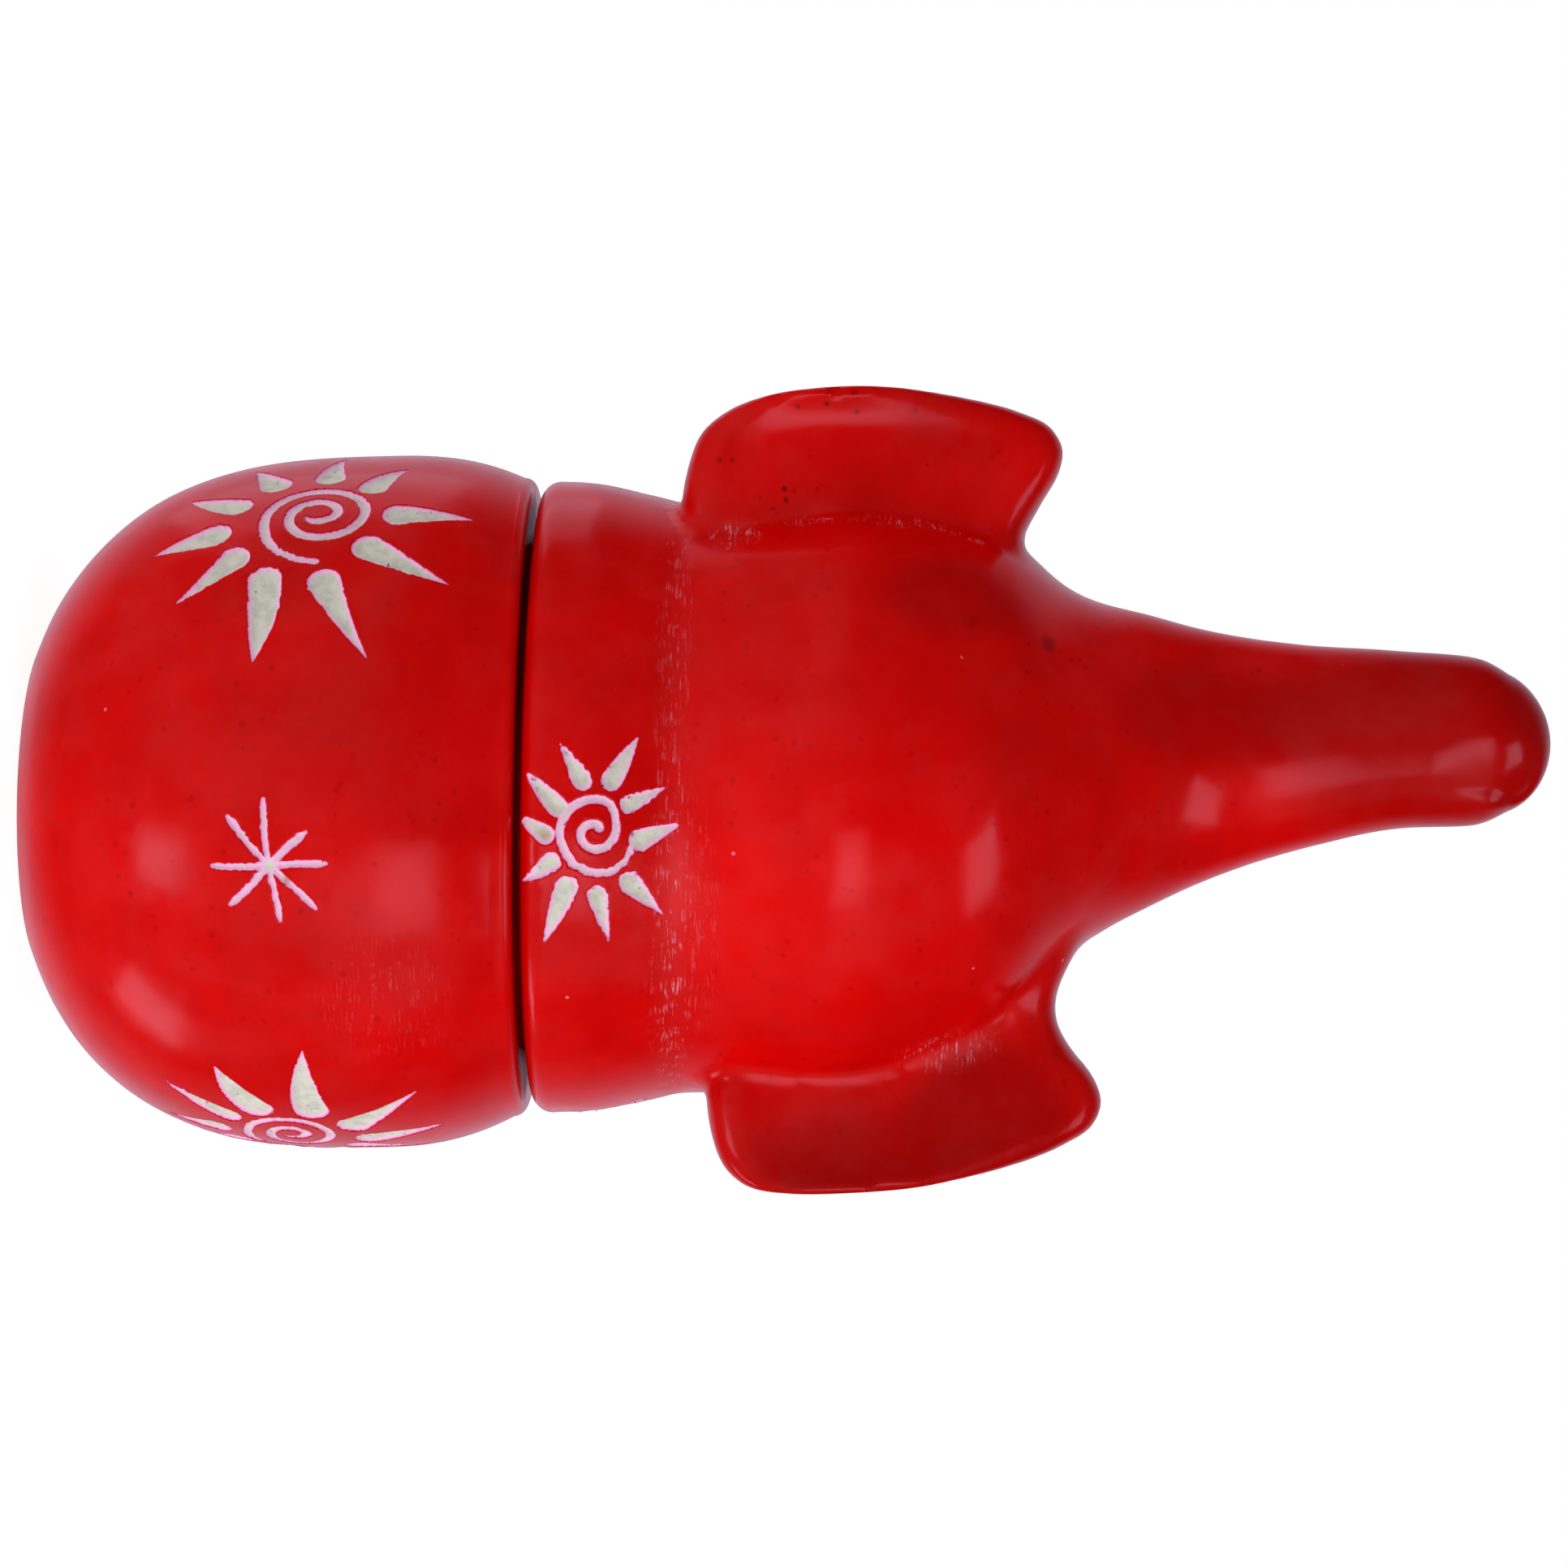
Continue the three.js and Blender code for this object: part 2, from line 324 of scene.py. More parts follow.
POT_SUN = [
    Drop((-0.35, 7.73), (-0.69, 14.7), 1.55, 1.15),
    Drop((4.46, 5.35), (8.77, 13.04), 1.6, 1.15, -0.25),
    Drop((8.77, 1.62), (16.96, 6.0), 1.6, 1.0, -0.2),
    Drop((8.0, -3.88), (16.96, -4.38), 1.58, 2.4, 0.3),
    Drop((4.85, -7.15), (9.38, -12.46), 1.6, 0.9, 0.2),
    Drop((0.81, -9.35), (1.27, -15.5), 1.6, 1.5),
    Drop((-3.7, -7.73), (-7.65, -12.9), 1.45, 1.5, 0.25),
    Drop((-7.46, -4.54), (-13.15, -7.15), 1.6, 1.0),
    Drop((-8.15, 0.62), (-15.15, 1.23), 1.5, 1.05, 0.2),
    Drop((-5.54, 4.96), (-10.1, 7.85), 1.45, 1.4, 0.3),
    spiral(
        (-0.62, 0.15),
        [(-75, 1.05), (-20, 1.0), (38, 1.1), (105, 1.9), (180, 2.3), (280, 2.65), (368, 3.5),
         (450, 4.4), (543, 4.4), (640, 5.0), (694, 6.1), (724, 6.8)],
        0.5, 0.4,
    ),
]

SIDE_SUN = [
    Drop((-2.8, 6.08), (-8.96, 12.23), 1.7, 0.8),
    Drop((1.54, 7.15), (-0.88, 14.27), 1.45, 1.5, 0.25),
    Drop((-6.08, 2.3), (-15.7, 2.23), 1.65, 1.6, 0.35),
    Drop((-6.0, -2.96), (-12.5, -6.3), 1.65, 1.8, 0.3),
    Drop((-3.46, -5.85), (-7.4, -11.6), 1.25, 1.5),
    Drop((0.92, -7.58), (2.0, -12.6), 1.5, 1.1),
    Drop((4.9, 6.0), (7.0, 12.6), 1.45, 1.2),
    Drop((7.7, 2.9), (14.2, 5.8), 1.55, 1.2),
    Drop((8.0, -1.6), (15.3, -2.8), 1.5, 1.6),
    Drop((5.3, -5.9), (9.9, -11.2), 1.5, 1.1),
    spiral(
        (0.23, -0.27),
        [(-55, 0.85), (16, 0.96), (101, 1.57), (186, 1.9), (275, 1.95), (372, 3.6), (439, 3.75),
         (535, 4.15), (627, 4.15), (685, 5.4), (725, 6.3)],
        0.46, 0.4,
    ),
]

LID_SUN = [
    Drop((0.9, 4.05), (-0.34, 7.25), 1.1, 1.1, 0.0, 0.26),
    Drop((4.9, 3.1), (8.2, 6.2), 1.1, 1.1),
    Drop((6.0, 0.1), (10.55, 1.13), 0.95, 1.4),
    Drop((5.2, -2.7), (10.6, -4.8), 1.08, 1.7),
    Drop((2.85, -4.1), (4.85, -6.75), 0.9, 1.5),
    Drop((0.37, -4.7), (-0.7, -6.35), 0.92, 1.5, 0.0, 0.5),
    Drop((-2.1, -3.55), (-5.0, -6.3), 0.95, 1.7, 0.0, 0.22),
    Drop((-4.5, -1.35), (-7.95, -3.5), 0.9, 1.5),
    Drop((-4.6, 1.3), (-8.6, 3.65), 1.0, 1.8),
    Drop((-2.35, 2.9), (-3.9, 6.2), 0.82, 1.7),
    spiral(
        (0.03, -0.16),
        [(128, 0.5), (211, 0.77), (276, 1.3), (329, 1.53), (408, 1.77), (446, 1.9), (483, 2.2),
         (512, 2.8), (567, 2.95), (628, 3.2), (662, 3.25), (720, 3.82), (743, 4.0), (790, 3.75)],
        0.42, 1.1,
    ),
]

STAR = star_arms()

EYE_RING = Stroke(
    tuple((1.75 * math.cos(a), 1.45 * math.sin(a)) for a in np.linspace(0, math.tau, 33)), 0.2,
)
EYE = [EYE_RING, Drop((0.0, 0.0), (0.1, 0.0), 0.45, 1.0, 0.0, 0.4)]


@dataclass(frozen=True)
class Ornament:
    """A group of gouged marks at one place on a piece."""

    marks: tuple
    angle: float
    height: float
    reach: float
    mirror: bool = False


# ---- Skins: the smooth surfaces that the marks are cut into ----


@dataclass
class Skin:
    """A surface whose radius follows its height, with charts laid flat on it."""

    lowest: float
    highest: float

    def radius(self, height: np.ndarray) -> np.ndarray:
        """The distance from the centre line at each height."""
        raise NotImplementedError

    def middle(self, height: np.ndarray) -> np.ndarray:
        """Where along X the centre line runs at each height."""
        raise NotImplementedError

    def chart(self, points: np.ndarray, ornament: Ornament) -> tuple[np.ndarray, np.ndarray]:
        """Lays points near an ornament flat.

        Args:
            points: places in millimetres.
            ornament: the group of marks that the chart is centred on.

        Returns:
            Their coordinates across and up.
        """
        levels = np.linspace(self.lowest, self.highest, 1200)
        radii = self.radius(levels)
        steps = np.hypot(np.diff(levels), np.diff(radii))
        run = np.concatenate([[0], np.cumsum(steps)])
        height = np.clip(points[:, 2], self.lowest, self.highest)
        angle = np.arctan2(points[:, 0] - self.middle(height), -points[:, 1])
        turn = angle - math.radians(ornament.angle)
        turn = (turn + math.pi) % math.tau - math.pi
        centre_radius = self.radius(np.array([ornament.height]))[0]
        across = turn * (self.radius(height) + centre_radius) / 2
        up = np.interp(height, levels, run) - np.interp(ornament.height, levels, run)
        return (-across if ornament.mirror else across), up


FAR = 9.0


@dataclass
class Gouge:
    """Cuts ornaments into a mesh, fine where an edge needs it."""

    skin: Skin
    ornaments: list[Ornament]
    depth: float = 0.42
    finest: float = 0.13
    flat: float = 0.36
    outer_share: float = 0.9

    def inside(self, points: np.ndarray) -> np.ndarray:
        """How far each point lies inside the nearest mark.

        Args:
            points: places in millimetres.

        Returns:
            Millimetres inside, negative outside, -FAR where no mark is near.
        """
        best = np.full(len(points), -FAR)
        for ornament in self.ornaments:
            across, up = self.skin.chart(points, ornament)
            near = np.hypot(across, up) < ornament.reach
            near &= self.is_skin(points)
            for mark in ornament.marks:
                value = mark.inside(across[near], up[near])
                best[near] = np.maximum(best[near], value)
        return best

    def is_skin(self, points: np.ndarray) -> np.ndarray:
        """Tells the outer skin from the wall of a hollow behind it.

        Args:
            points: places in millimetres.

        Returns:
            True for each point that lies on the outer skin.
        """
        centre = self.skin.middle(points[:, 2])
        radius = np.hypot(points[:, 0] - centre, points[:, 1])
        return radius > self.skin.radius(points[:, 2]) * self.outer_share

    def refine(self, bm: bmesh.types.BMesh, passes: int = 5) -> None:
        """Splits the edges that lie near the marks' edges or in their floors.

        Args:
            bm: a mesh of triangles.
            passes: how many times to look.
        """
        for _ in range(passes):
            edges = bm.edges[:]
            ends = np.array([(*e.verts[0].co, *e.verts[1].co) for e in edges], float)
            middles = (ends[:, :3] + ends[:, 3:]) / 2
            lengths = np.linalg.norm(ends[:, :3] - ends[:, 3:], axis=1)
            value = self.inside(middles)
            allowed = self.finest + 0.62 * np.abs(value)
            allowed = np.where(value > 0, np.minimum(allowed, self.flat), allowed)
            chosen = np.nonzero((lengths > allowed * 1.25) & (value > -FAR))[0]
            if not len(chosen):
                return
            bmesh.ops.subdivide_edges(bm, edges=[edges[i] for i in chosen], cuts=1)
            many = [face for face in bm.faces if len(face.verts) > 3]
            bmesh.ops.triangulate(bm, faces=many)

    def cut(self, bm: bmesh.types.BMesh, normals: np.ndarray) -> np.ndarray:
        """Sinks the marks.

        Args:
            bm: the refined mesh.
            normals: the direction to sink against at each vertex.

        Returns:
            Millimetres inside a mark at each vertex, with ragged edges.
        """
        places = places_of(bm)
        value = self.inside(places)
        near = np.nonzero(value > -1.5)[0]
        torn = smoothstep(-0.1, 0.35, wander(places[near], 3.2, 7.0))
        teeth = wander(places[near], 0.42, 3.0) * (0.05 + 0.13 * torn)
        value[near] += teeth + wander(places[near], 1.6, 4.0) * 0.05
        floor = wander(places[near], 0.75, 5.0) * 0.05 + wander(places[near], 0.35, 6.0) * 0.025
        sunk = smoothstep(-0.03, 0.17, value[near])
        lip = 0.02 * np.exp(-((value[near] + 0.12) / 0.09) ** 2)
        broad = 0.62 + 0.38 * smoothstep(0.25, 0.8, value[near])
        offset = lip - sunk * (self.depth * broad + floor)
        places[near] += normals[near] * offset[:, None]
        move_to(bm, places)
        return value


# ---- Finishes ----


class Tree:
    """Builds one node tree in short calls."""

    def __init__(self, owner: bpy.types.ID) -> None:
        """Empties the tree of a material or a world.

        Args:
            owner: what the nodes belong to.
        """
        owner.use_nodes = True
        self.tree = owner.node_tree
        self.tree.nodes.clear()

    def node(self, kind: str, inputs: dict | None = None, **settings: object) -> bpy.types.Node:
        """Adds a node.

        Args:
            kind: its Blender type.
            inputs: constants or sockets for its inputs, by name or index.
            **settings: its own properties.

        Returns:
            The node.
        """
        made = self.tree.nodes.new(kind)
        for name, value in settings.items():
            setattr(made, name, value)
        for key, value in (inputs or {}).items():
            if isinstance(value, bpy.types.NodeSocket):
                self.tree.links.new(value, made.inputs[key])
            else:
                made.inputs[key].default_value = value
        return made

    def math(self, operation: str, a: Value, b: Value = 0.0, clamp: bool = False) -> Socket:
        """A sum, product or other calculation on two values."""
        made = self.node("ShaderNodeMath", {0: a, 1: b}, operation=operation, use_clamp=clamp)
        return made.outputs[0]

    def band(
        self, value: Value, low: float, high: float, start: float = 0.0, end: float = 1.0,
    ) -> Socket:
        """Maps a value softly from one range to another.

        Args:
            value: what to map.
            low: where the first range starts.
            high: where the first range ends.
            start: what the low end becomes.
            end: what the high end becomes.

        Returns:
            The mapped value.
        """
        inputs = {0: value, 1: low, 2: high, 3: start, 4: end}
        made = self.node("ShaderNodeMapRange", inputs, interpolation_type="SMOOTHSTEP")
        return made.outputs[0]

    def blend(self, share: Value, a: Socket | Colour, b: Socket | Colour) -> Socket:
        """Blends two colours by a share."""
        made = self.node("ShaderNodeMix", {0: share, 6: a, 7: b}, data_type="RGBA")
        return made.outputs[2]

    def noise(self, where: Socket, size: float, detail: float = 2.0, rough: float = 0.5) -> Socket:
        """Noise whose swells are about the given size in millimetres."""
        inputs = {"Vector": where, "Scale": 1 / size, "Detail": detail, "Roughness": rough}
        return self.node("ShaderNodeTexNoise", inputs).outputs[0]

    def spots(self, where: Socket, size: float) -> Socket:
        """Distance to the nearest of many scattered points."""
        inputs = {"Vector": where, "Scale": 1 / size, "Randomness": 1.0}
        return self.node("ShaderNodeTexVoronoi", inputs).outputs[0]


@dataclass(frozen=True)
class DyedStone:
    """Soapstone dyed red and waxed, pale where a gouge has gone through the dye."""

    bright: Colour = (0.65, 0.0, 0.0, 1)
    deep: Colour = (0.54, 0.0, 0.0, 1)
    # The next two reds are painted light and painted shade, laid on in patches and partly the dye's own
    # unevenness; the darker red also tints the grain.
    fresh: Colour = (0.77, 0.0, 0.0, 1)
    dark_red_grain_and_painted_shade: Colour = (0.36, 0.0, 0.0, 1)
    blemish: Colour = (0.17, 0.0, 0.002, 1)
    scuff: Colour = (0.75, 0.22, 0.30, 1)
    cream: Colour = (0.65, 0.64, 0.56, 1)
    cream_dark: Colour = (0.54, 0.525, 0.45, 1)
    lilac: Colour = (0.88, 0.50, 0.72, 1)
    magenta: Colour = (0.80, 0.25, 0.60, 1)
    rust: Colour = (0.36, 0.20, 0.05, 1)
    pit: Colour = (0.16, 0.13, 0.10, 1)
    gloss: float = 0.19
    wax: float = 1.33
    chalk: float = 0.85

    def material(self, name: str) -> bpy.types.Material:
        """Builds the finish.

        Args:
            name: the material's name.

        Returns:
            The material.
        """
        made = bpy.data.materials.new(name)
        tree = Tree(made)
        at = tree.node("ShaderNodeTexCoord").outputs["Object"]
        where = tree.node("ShaderNodeMapping", {0: at, 3: (1000, 1000, 1000)}).outputs[0]
        cut = self.reading(tree, "cut")
        rub = self.reading(tree, "rub")
        speck = self.reading(tree, "speck")
        stain = self.reading(tree, "stain")

        skin = self.skin_colour(tree, where, speck, rub)
        ragged = tree.math("MULTIPLY", tree.math("SUBTRACT", tree.noise(where, 0.22), 0.5), 0.1)
        edge = tree.math("ADD", cut, ragged)
        floor = self.floor_colour(tree, where, edge, stain)
        share = tree.band(edge, -0.015, 0.03)
        colour = tree.blend(share, skin, floor)

        smudge = tree.band(tree.noise(where, 5.0, 4.0, 0.6), 0.35, 0.7, -0.03, 0.06)
        gloss = tree.math("ADD", smudge, self.gloss)
        gloss = tree.math("ADD", gloss, tree.math("MULTIPLY", rub, 0.16))
        dull = tree.math("MULTIPLY", share, self.chalk - self.gloss)
        gloss = tree.math("ADD", gloss, dull, True)

        height = self.relief(tree, where, share, rub)
        bump = tree.node("ShaderNodeBump", {"Strength": 1.0, "Distance": MM, "Height": height})
        stone = tree.node(
            "ShaderNodeBsdfPrincipled",
            {"Base Color": colour, "Roughness": gloss, "IOR": self.wax, "Normal": bump.outputs[0]},
        )
        tree.node("ShaderNodeOutputMaterial", {"Surface": stone.outputs[0]})
        return made

    def reading(self, tree: Tree, name: str) -> Socket:
        """The value that the piece's vertices carry under a name."""
        made = tree.node("ShaderNodeAttribute", attribute_name=name)
        return made.outputs["Fac"]

    def skin_colour(self, tree: Tree, where: Socket, speck: Socket, rub: Socket) -> Socket:
        """The dyed skin: mottling, patches of painted light and shade (partly the dye's own unevenness),
        dark specks, small pale chips and fine rubbed scratches.

        Args:
            tree: the material's nodes.
            where: the place in millimetres.
            speck: how many dark specks there are.
            rub: how worn the skin is.

        Returns:
            The colour.
        """
        cloud = tree.band(tree.noise(where, 11.0, 4.0, 0.6), 0.3, 0.7)
        base = tree.blend(cloud, self.deep, self.bright)
        # Painted light and painted shade: patches of lighter and darker red, partly the dye's own
        # unevenness.
        painted_light_and_tone = self.reading(tree, "painted_light_and_tone")
        base = tree.blend(tree.band(painted_light_and_tone, 0.0, 1.0), base, self.fresh)
        base = tree.blend(tree.band(painted_light_and_tone, 0.0, -1.0), base, self.dark_red_grain_and_painted_shade)
        grain = tree.band(tree.noise(where, 0.5, 3.0, 0.7), 0.45, 0.8, 0.0, 0.12)
        base = tree.blend(grain, base, self.dark_red_grain_and_painted_shade)

        blur = tree.math("MULTIPLY", tree.noise(where, 0.35, 3.0), 0.22)
        dots = tree.band(tree.math("ADD", tree.spots(where, 1.7), blur), 0.36, 0.2)
        chance = tree.band(tree.noise(where, 3.1, 1.0), 0.47, 0.6)
        dark = tree.math("MULTIPLY", tree.math("MULTIPLY", dots, chance), speck, True)
        base = tree.blend(dark, base, self.blemish)

        chips = tree.band(tree.spots(where, 4.3), 0.055, 0.035)
        rare = tree.band(tree.noise(where, 6.0, 0.0), 0.56, 0.6, 0.0, 0.7)
        base = tree.blend(tree.math("MULTIPLY", chips, rare), base, self.scuff)

        scratch = tree.math("MULTIPLY", self.hairs(tree, where), rub)
        base = tree.blend(tree.math("MULTIPLY", scratch, 0.7, True), base, self.scuff)
        bare = tree.math("ADD", self.reading(tree, "worn"), -1.0)
        bare = tree.math("ADD", bare, tree.noise(where, 0.3, 4.0, 0.8))
        return tree.blend(tree.band(bare, 0.42, 0.6, 0.0, 0.8), base, self.scuff)

    def hairs(self, tree: Tree, where: Socket) -> Socket:
        """Short fine scratches that run round the jar, broken by noise.

        Args:
            tree: the material's nodes.
            where: the place in millimetres.

        Returns:
            1 on a scratch and 0 between them.
        """
        flat = tree.node("ShaderNodeMapping", {0: where, 2: (0.05, 0.03, 0.0), 3: (0.4, 0.4, 5.5)})
        lines = tree.band(tree.noise(flat.outputs[0], 1.0, 3.0, 0.65), 0.52, 0.62)
        gaps = tree.band(tree.noise(where, 1.2, 3.0, 0.6), 0.44, 0.58)
        return tree.math("MULTIPLY", lines, gaps)

    def floor_colour(self, tree: Tree, where: Socket, edge: Socket, stain: Socket) -> Socket:
        """The bare stone in a mark, stained by the dye along its edges.

        Args:
            tree: the material's nodes.
            where: the place in millimetres.
            edge: how far inside the mark the place is.
            stain: how rusty it is.

        Returns:
            The colour.
        """
        patch = tree.band(tree.noise(where, 1.3, 3.0, 0.6), 0.4, 0.66)
        bare = tree.blend(patch, self.cream, self.cream_dark)
        pits = tree.band(tree.spots(where, 0.9), 0.2, 0.1, 0.0, 0.75)
        few = tree.band(tree.noise(where, 1.9, 1.0), 0.56, 0.62)
        bare = tree.blend(tree.math("MULTIPLY", pits, few), bare, self.pit)
        soak = tree.math("ADD", edge, tree.band(tree.noise(where, 0.8), 0.3, 0.7, -0.09, 0.09))
        tinted = tree.blend(tree.band(soak, 0.17, 0.46), self.lilac, bare)
        rimmed = tree.blend(tree.band(edge, 0.01, 0.11), self.magenta, tinted)
        return tree.blend(stain, rimmed, self.rust)

    def relief(self, tree: Tree, where: Socket, share: Socket, rub: Socket) -> Socket:
        """The fine relief: chalky in the marks and faintly brushed on the skin.

        Args:
            tree: the material's nodes.
            where: the place in millimetres.
            share: how much of the place is inside a mark.
            rub: how worn the skin is.

        Returns:
            The height in millimetres.
        """
        chalk = tree.math("MULTIPLY", tree.noise(where, 0.3, 4.0, 0.7), 0.07)
        chalk = tree.math("MULTIPLY", chalk, share)
        brushed = tree.math("MULTIPLY", self.hairs(tree, where), rub)
        brushed = tree.math("MULTIPLY", brushed, -0.02)
        skin = tree.math("MULTIPLY", tree.noise(where, 1.8, 3.0, 0.55), 0.012)
        return tree.math("ADD", tree.math("ADD", chalk, brushed), skin)


# ---- Wear: patches where the skin is rubbed, speckled or stained, and patches of painted light and shade ----


class Mark(Enum):
    """What a patch does to the skin: wear, specks, stains, or painted light and shade."""

    RUB = "rub"
    SPECK = "speck"
    STAIN = "stain"
    # Patches of lighter and darker red: painted light and painted shade, partly the dye's own unevenness.
    PAINTED_LIGHT_AND_TONE = "painted_light_and_tone"
    WORN = "worn"


@dataclass(frozen=True)
class Patch:
    """A soft-edged patch of wear, specks, stain, or painted light and shade."""

    kind: Mark
    centre: Place
    reach: Place
    strength: float = 1.0

    def covers(self, place: Vector) -> bool:
        """Whether a place is within the patch."""
        gap = [(a - b) / c for a, b, c in zip(place, self.centre, self.reach)]
        return math.hypot(*gap) < 1.1

    def weight(self, points: np.ndarray) -> np.ndarray:
        """How strongly the patch works at each point."""
        gap = (points - np.array(self.centre)) / np.array(self.reach)
        return self.strength * smoothstep(1.0, 0.35, np.linalg.norm(gap, axis=1))


def finish_piece(
    bm: bmesh.types.BMesh, name: str, cut: np.ndarray, patches: list[Patch],
    material: bpy.types.Material, node: str, body: str,
) -> bpy.types.Object:
    """Makes a finished piece of a mesh in millimetres, parents it to its body's empty and hides the CAD
    part.

    Args:
        bm: the mesh, which is used up.
        name: the piece's name.
        cut: how far inside a mark each vertex is.
        patches: the wear and the patches of painted light and shade.
        material: the finish.
        node: the CAD node that it stands for.
        body: the CAD body that it rides on.

    Returns:
        The object.
    """
    places = places_of(bm)
    readings = {"cut": np.clip(cut, -0.8, 0.8)}
    for mark in Mark:
        weights = [patch.weight(places) for patch in patches if patch.kind is mark]
        low = -1 if mark is Mark.PAINTED_LIGHT_AND_TONE else 0
        readings[mark.value] = np.clip(sum(weights, np.zeros(len(places))), low, 1)
    bmesh.ops.scale(bm, vec=(MM, MM, MM), verts=bm.verts[:])
    mesh = bpy.data.meshes.new(name)
    bm.to_mesh(mesh)
    bm.free()
    mesh.shade_smooth()
    for key, values in readings.items():
        layer = mesh.attributes.new(key, "FLOAT", "POINT")
        layer.data.foreach_set("value", values.astype(np.float32))
    mesh.materials.append(material)
    piece = bpy.data.objects.new(name, mesh)
    bpy.context.scene.collection.objects.link(piece)
    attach(piece, body)
    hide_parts(node)
    log.info("%s: %d triangles", name, sum(len(face.vertices) - 2 for face in mesh.polygons))
    return piece


# ---- The pot ----


@dataclass
class Pot(Skin):
    """The bowl, its hollow and the lip that the lid drops over."""

    lowest: float = 0.0
    highest: float = 47.5
    foot_radius: float = 15.9
    foot_offset: float = 1.35
    belly_radius: float = 33.65
    belly_height: float = 34.0
    rim_radius: float = 30.6
    rim_rounding: float = 1.1
    floor: float = 8.0
    belly_wall: float = 9.15
    hollow_corner: float = 9.0
    hollow_neck: float = 4.0
    seat_width: float = 5.9
    lip_wall: float = 3.2
    lip_height: float = 3.6
    around: int = 190
    sway: float = 0.13
    patches: list[Patch] = field(default_factory=list)

    def radius(self, height: np.ndarray) -> np.ndarray:
        """The bowl's section: full at the belly, drawn in to the foot and the rim.

        Args:
            height: the heights.

        Returns:
            The distance from the centre line at each.
        """
        height = np.clip(np.asarray(height, float), 0, self.highest)
        foot = 1 - (self.foot_radius / self.belly_radius) ** 2.1
        rim = 1 - (self.rim_radius / self.belly_radius) ** 2
        below = np.clip(self.belly_height - height, 0, None) / self.belly_height
        above = np.clip(height - self.belly_height, 0, None) / (self.highest - self.belly_height)
        bowl = self.belly_radius * (1 - foot * below**2.9) ** (1 / 2.1)
        shoulder = self.belly_radius * np.sqrt(1 - rim * above**2.2)
        return np.where(height < self.belly_height, bowl, shoulder)

    def middle(self, height: np.ndarray) -> np.ndarray:
        """Where along X the hand-carved outside is centred at each height."""
        share = np.clip(np.asarray(height, float) / self.highest, 0, 1)
        return self.foot_offset * (1 - share**2)

    def outline(self) -> list[Point]:
        """Draws the pot's section, from the centre of the foot out, up and down the hollow.

        Returns:
            The (radius, height) points, which start and end on the axis.
        """
        rounding = self.rim_rounding
        foot = evenly([(0, 0), (self.foot_radius - 0.01, 0)], 1.8)
        heights = (self.highest - rounding) * np.linspace(0, 1, 62) ** 1.3
        side = [(float(self.radius(h)), float(h)) for h in heights]
        corner = (side[-1][0] - rounding, self.highest - rounding)
        lip_radius = self.rim_radius - self.seat_width
        mouth = lip_radius - self.lip_wall
        hollow = self.belly_radius - self.belly_wall
        lip_top = self.highest + self.lip_height
        shoulder = self.highest - self.hollow_neck
        widest = (self.floor + self.hollow_corner + shoulder) / 2
        inner = Flow([
            (self.floor + self.hollow_corner, hollow), (widest, hollow),
            ((widest + shoulder) / 2 + 3, (hollow + mouth) / 2), (shoulder, mouth),
        ])
        levels = np.linspace(shoulder, self.floor + self.hollow_corner, 14)
        base = (hollow - self.hollow_corner, self.floor + self.hollow_corner)
        top = [
            *quarter(corner, rounding, 8, 90, 6),
            (lip_radius + 0.25, self.highest),
            *quarter((lip_radius + 0.25, self.highest + 0.25), 0.25, 250, 180, 2),
            *quarter((lip_radius - 0.7, lip_top - 0.7), 0.7, 0, 90, 4),
            *quarter((mouth + 0.6, lip_top - 0.6), 0.6, 90, 180, 4),
        ]
        wall = [(float(inner(level)), float(level)) for level in levels]
        bowl = quarter(base, self.hollow_corner, 0, -90, 9)[1:]
        return foot + side + evenly(top + wall, 1.8) + bowl + evenly([bowl[-1], (0, self.floor)], 2.2)

    def settle(self, places: np.ndarray) -> np.ndarray:
        """Puts the outer skin's vertices on the true surface.

        Args:
            places: vertex places before the foot is set off.

        Returns:
            The places, with the foot set off to the side.
        """
        height = places[:, 2]
        radius = np.hypot(places[:, 0], places[:, 1])
        true = self.radius(height)
        outer = (np.abs(radius - true) < 0.3) & (height > 0.02)
        outer &= height < self.highest - self.rim_rounding
        factor = np.where(outer, true / np.maximum(radius, 1e-6), 1.0)
        places[:, :2] *= factor[:, None]
        skin = (radius > true - 3.5) | (height < self.floor - 2)
        skin &= height <= self.highest
        places[:, 0] += np.where(skin, self.middle(height), 0)
        return places

    def ornaments(self) -> list[Ornament]:
        """Places three suns round the belly, with a star between each two.

        Returns:
            The six groups of marks.
        """
        made = [
            Ornament(tuple(POT_SUN), -51.7, 28.2, 19),
            Ornament(tuple(SIDE_SUN), 69.4, 26.0, 18),
            Ornament(tuple(POT_SUN), 189.0, 27.4, 19, True),
        ]
        for angle, height in ((9.5, 25.9), (129.5, 27.0), (-111.0, 25.2)):
            made.append(Ornament(tuple(STAR), angle, height, 8))
        return made

    def build(self, material: bpy.types.Material) -> bpy.types.Object:
        """Makes the pot.

        Args:
            material: its finish.

        Returns:
            The finished piece.
        """
        bm = spun(self.outline(), self.around)
        bmesh.ops.triangulate(bm, faces=bm.faces[:])
        gouge = Gouge(self, self.ornaments())
        straight = Gouge(Upright(self.lowest, self.highest, self), self.ornaments())
        straight.refine(bm)
        move_to(bm, self.settle(places_of(bm)))
        self.carve_by_hand(bm)
        cut = gouge.cut(bm, normals_of(bm))
        return finish_piece(
            bm, "pot_carved", cut, self.patches, material, "jar_pot", "jar",
        )

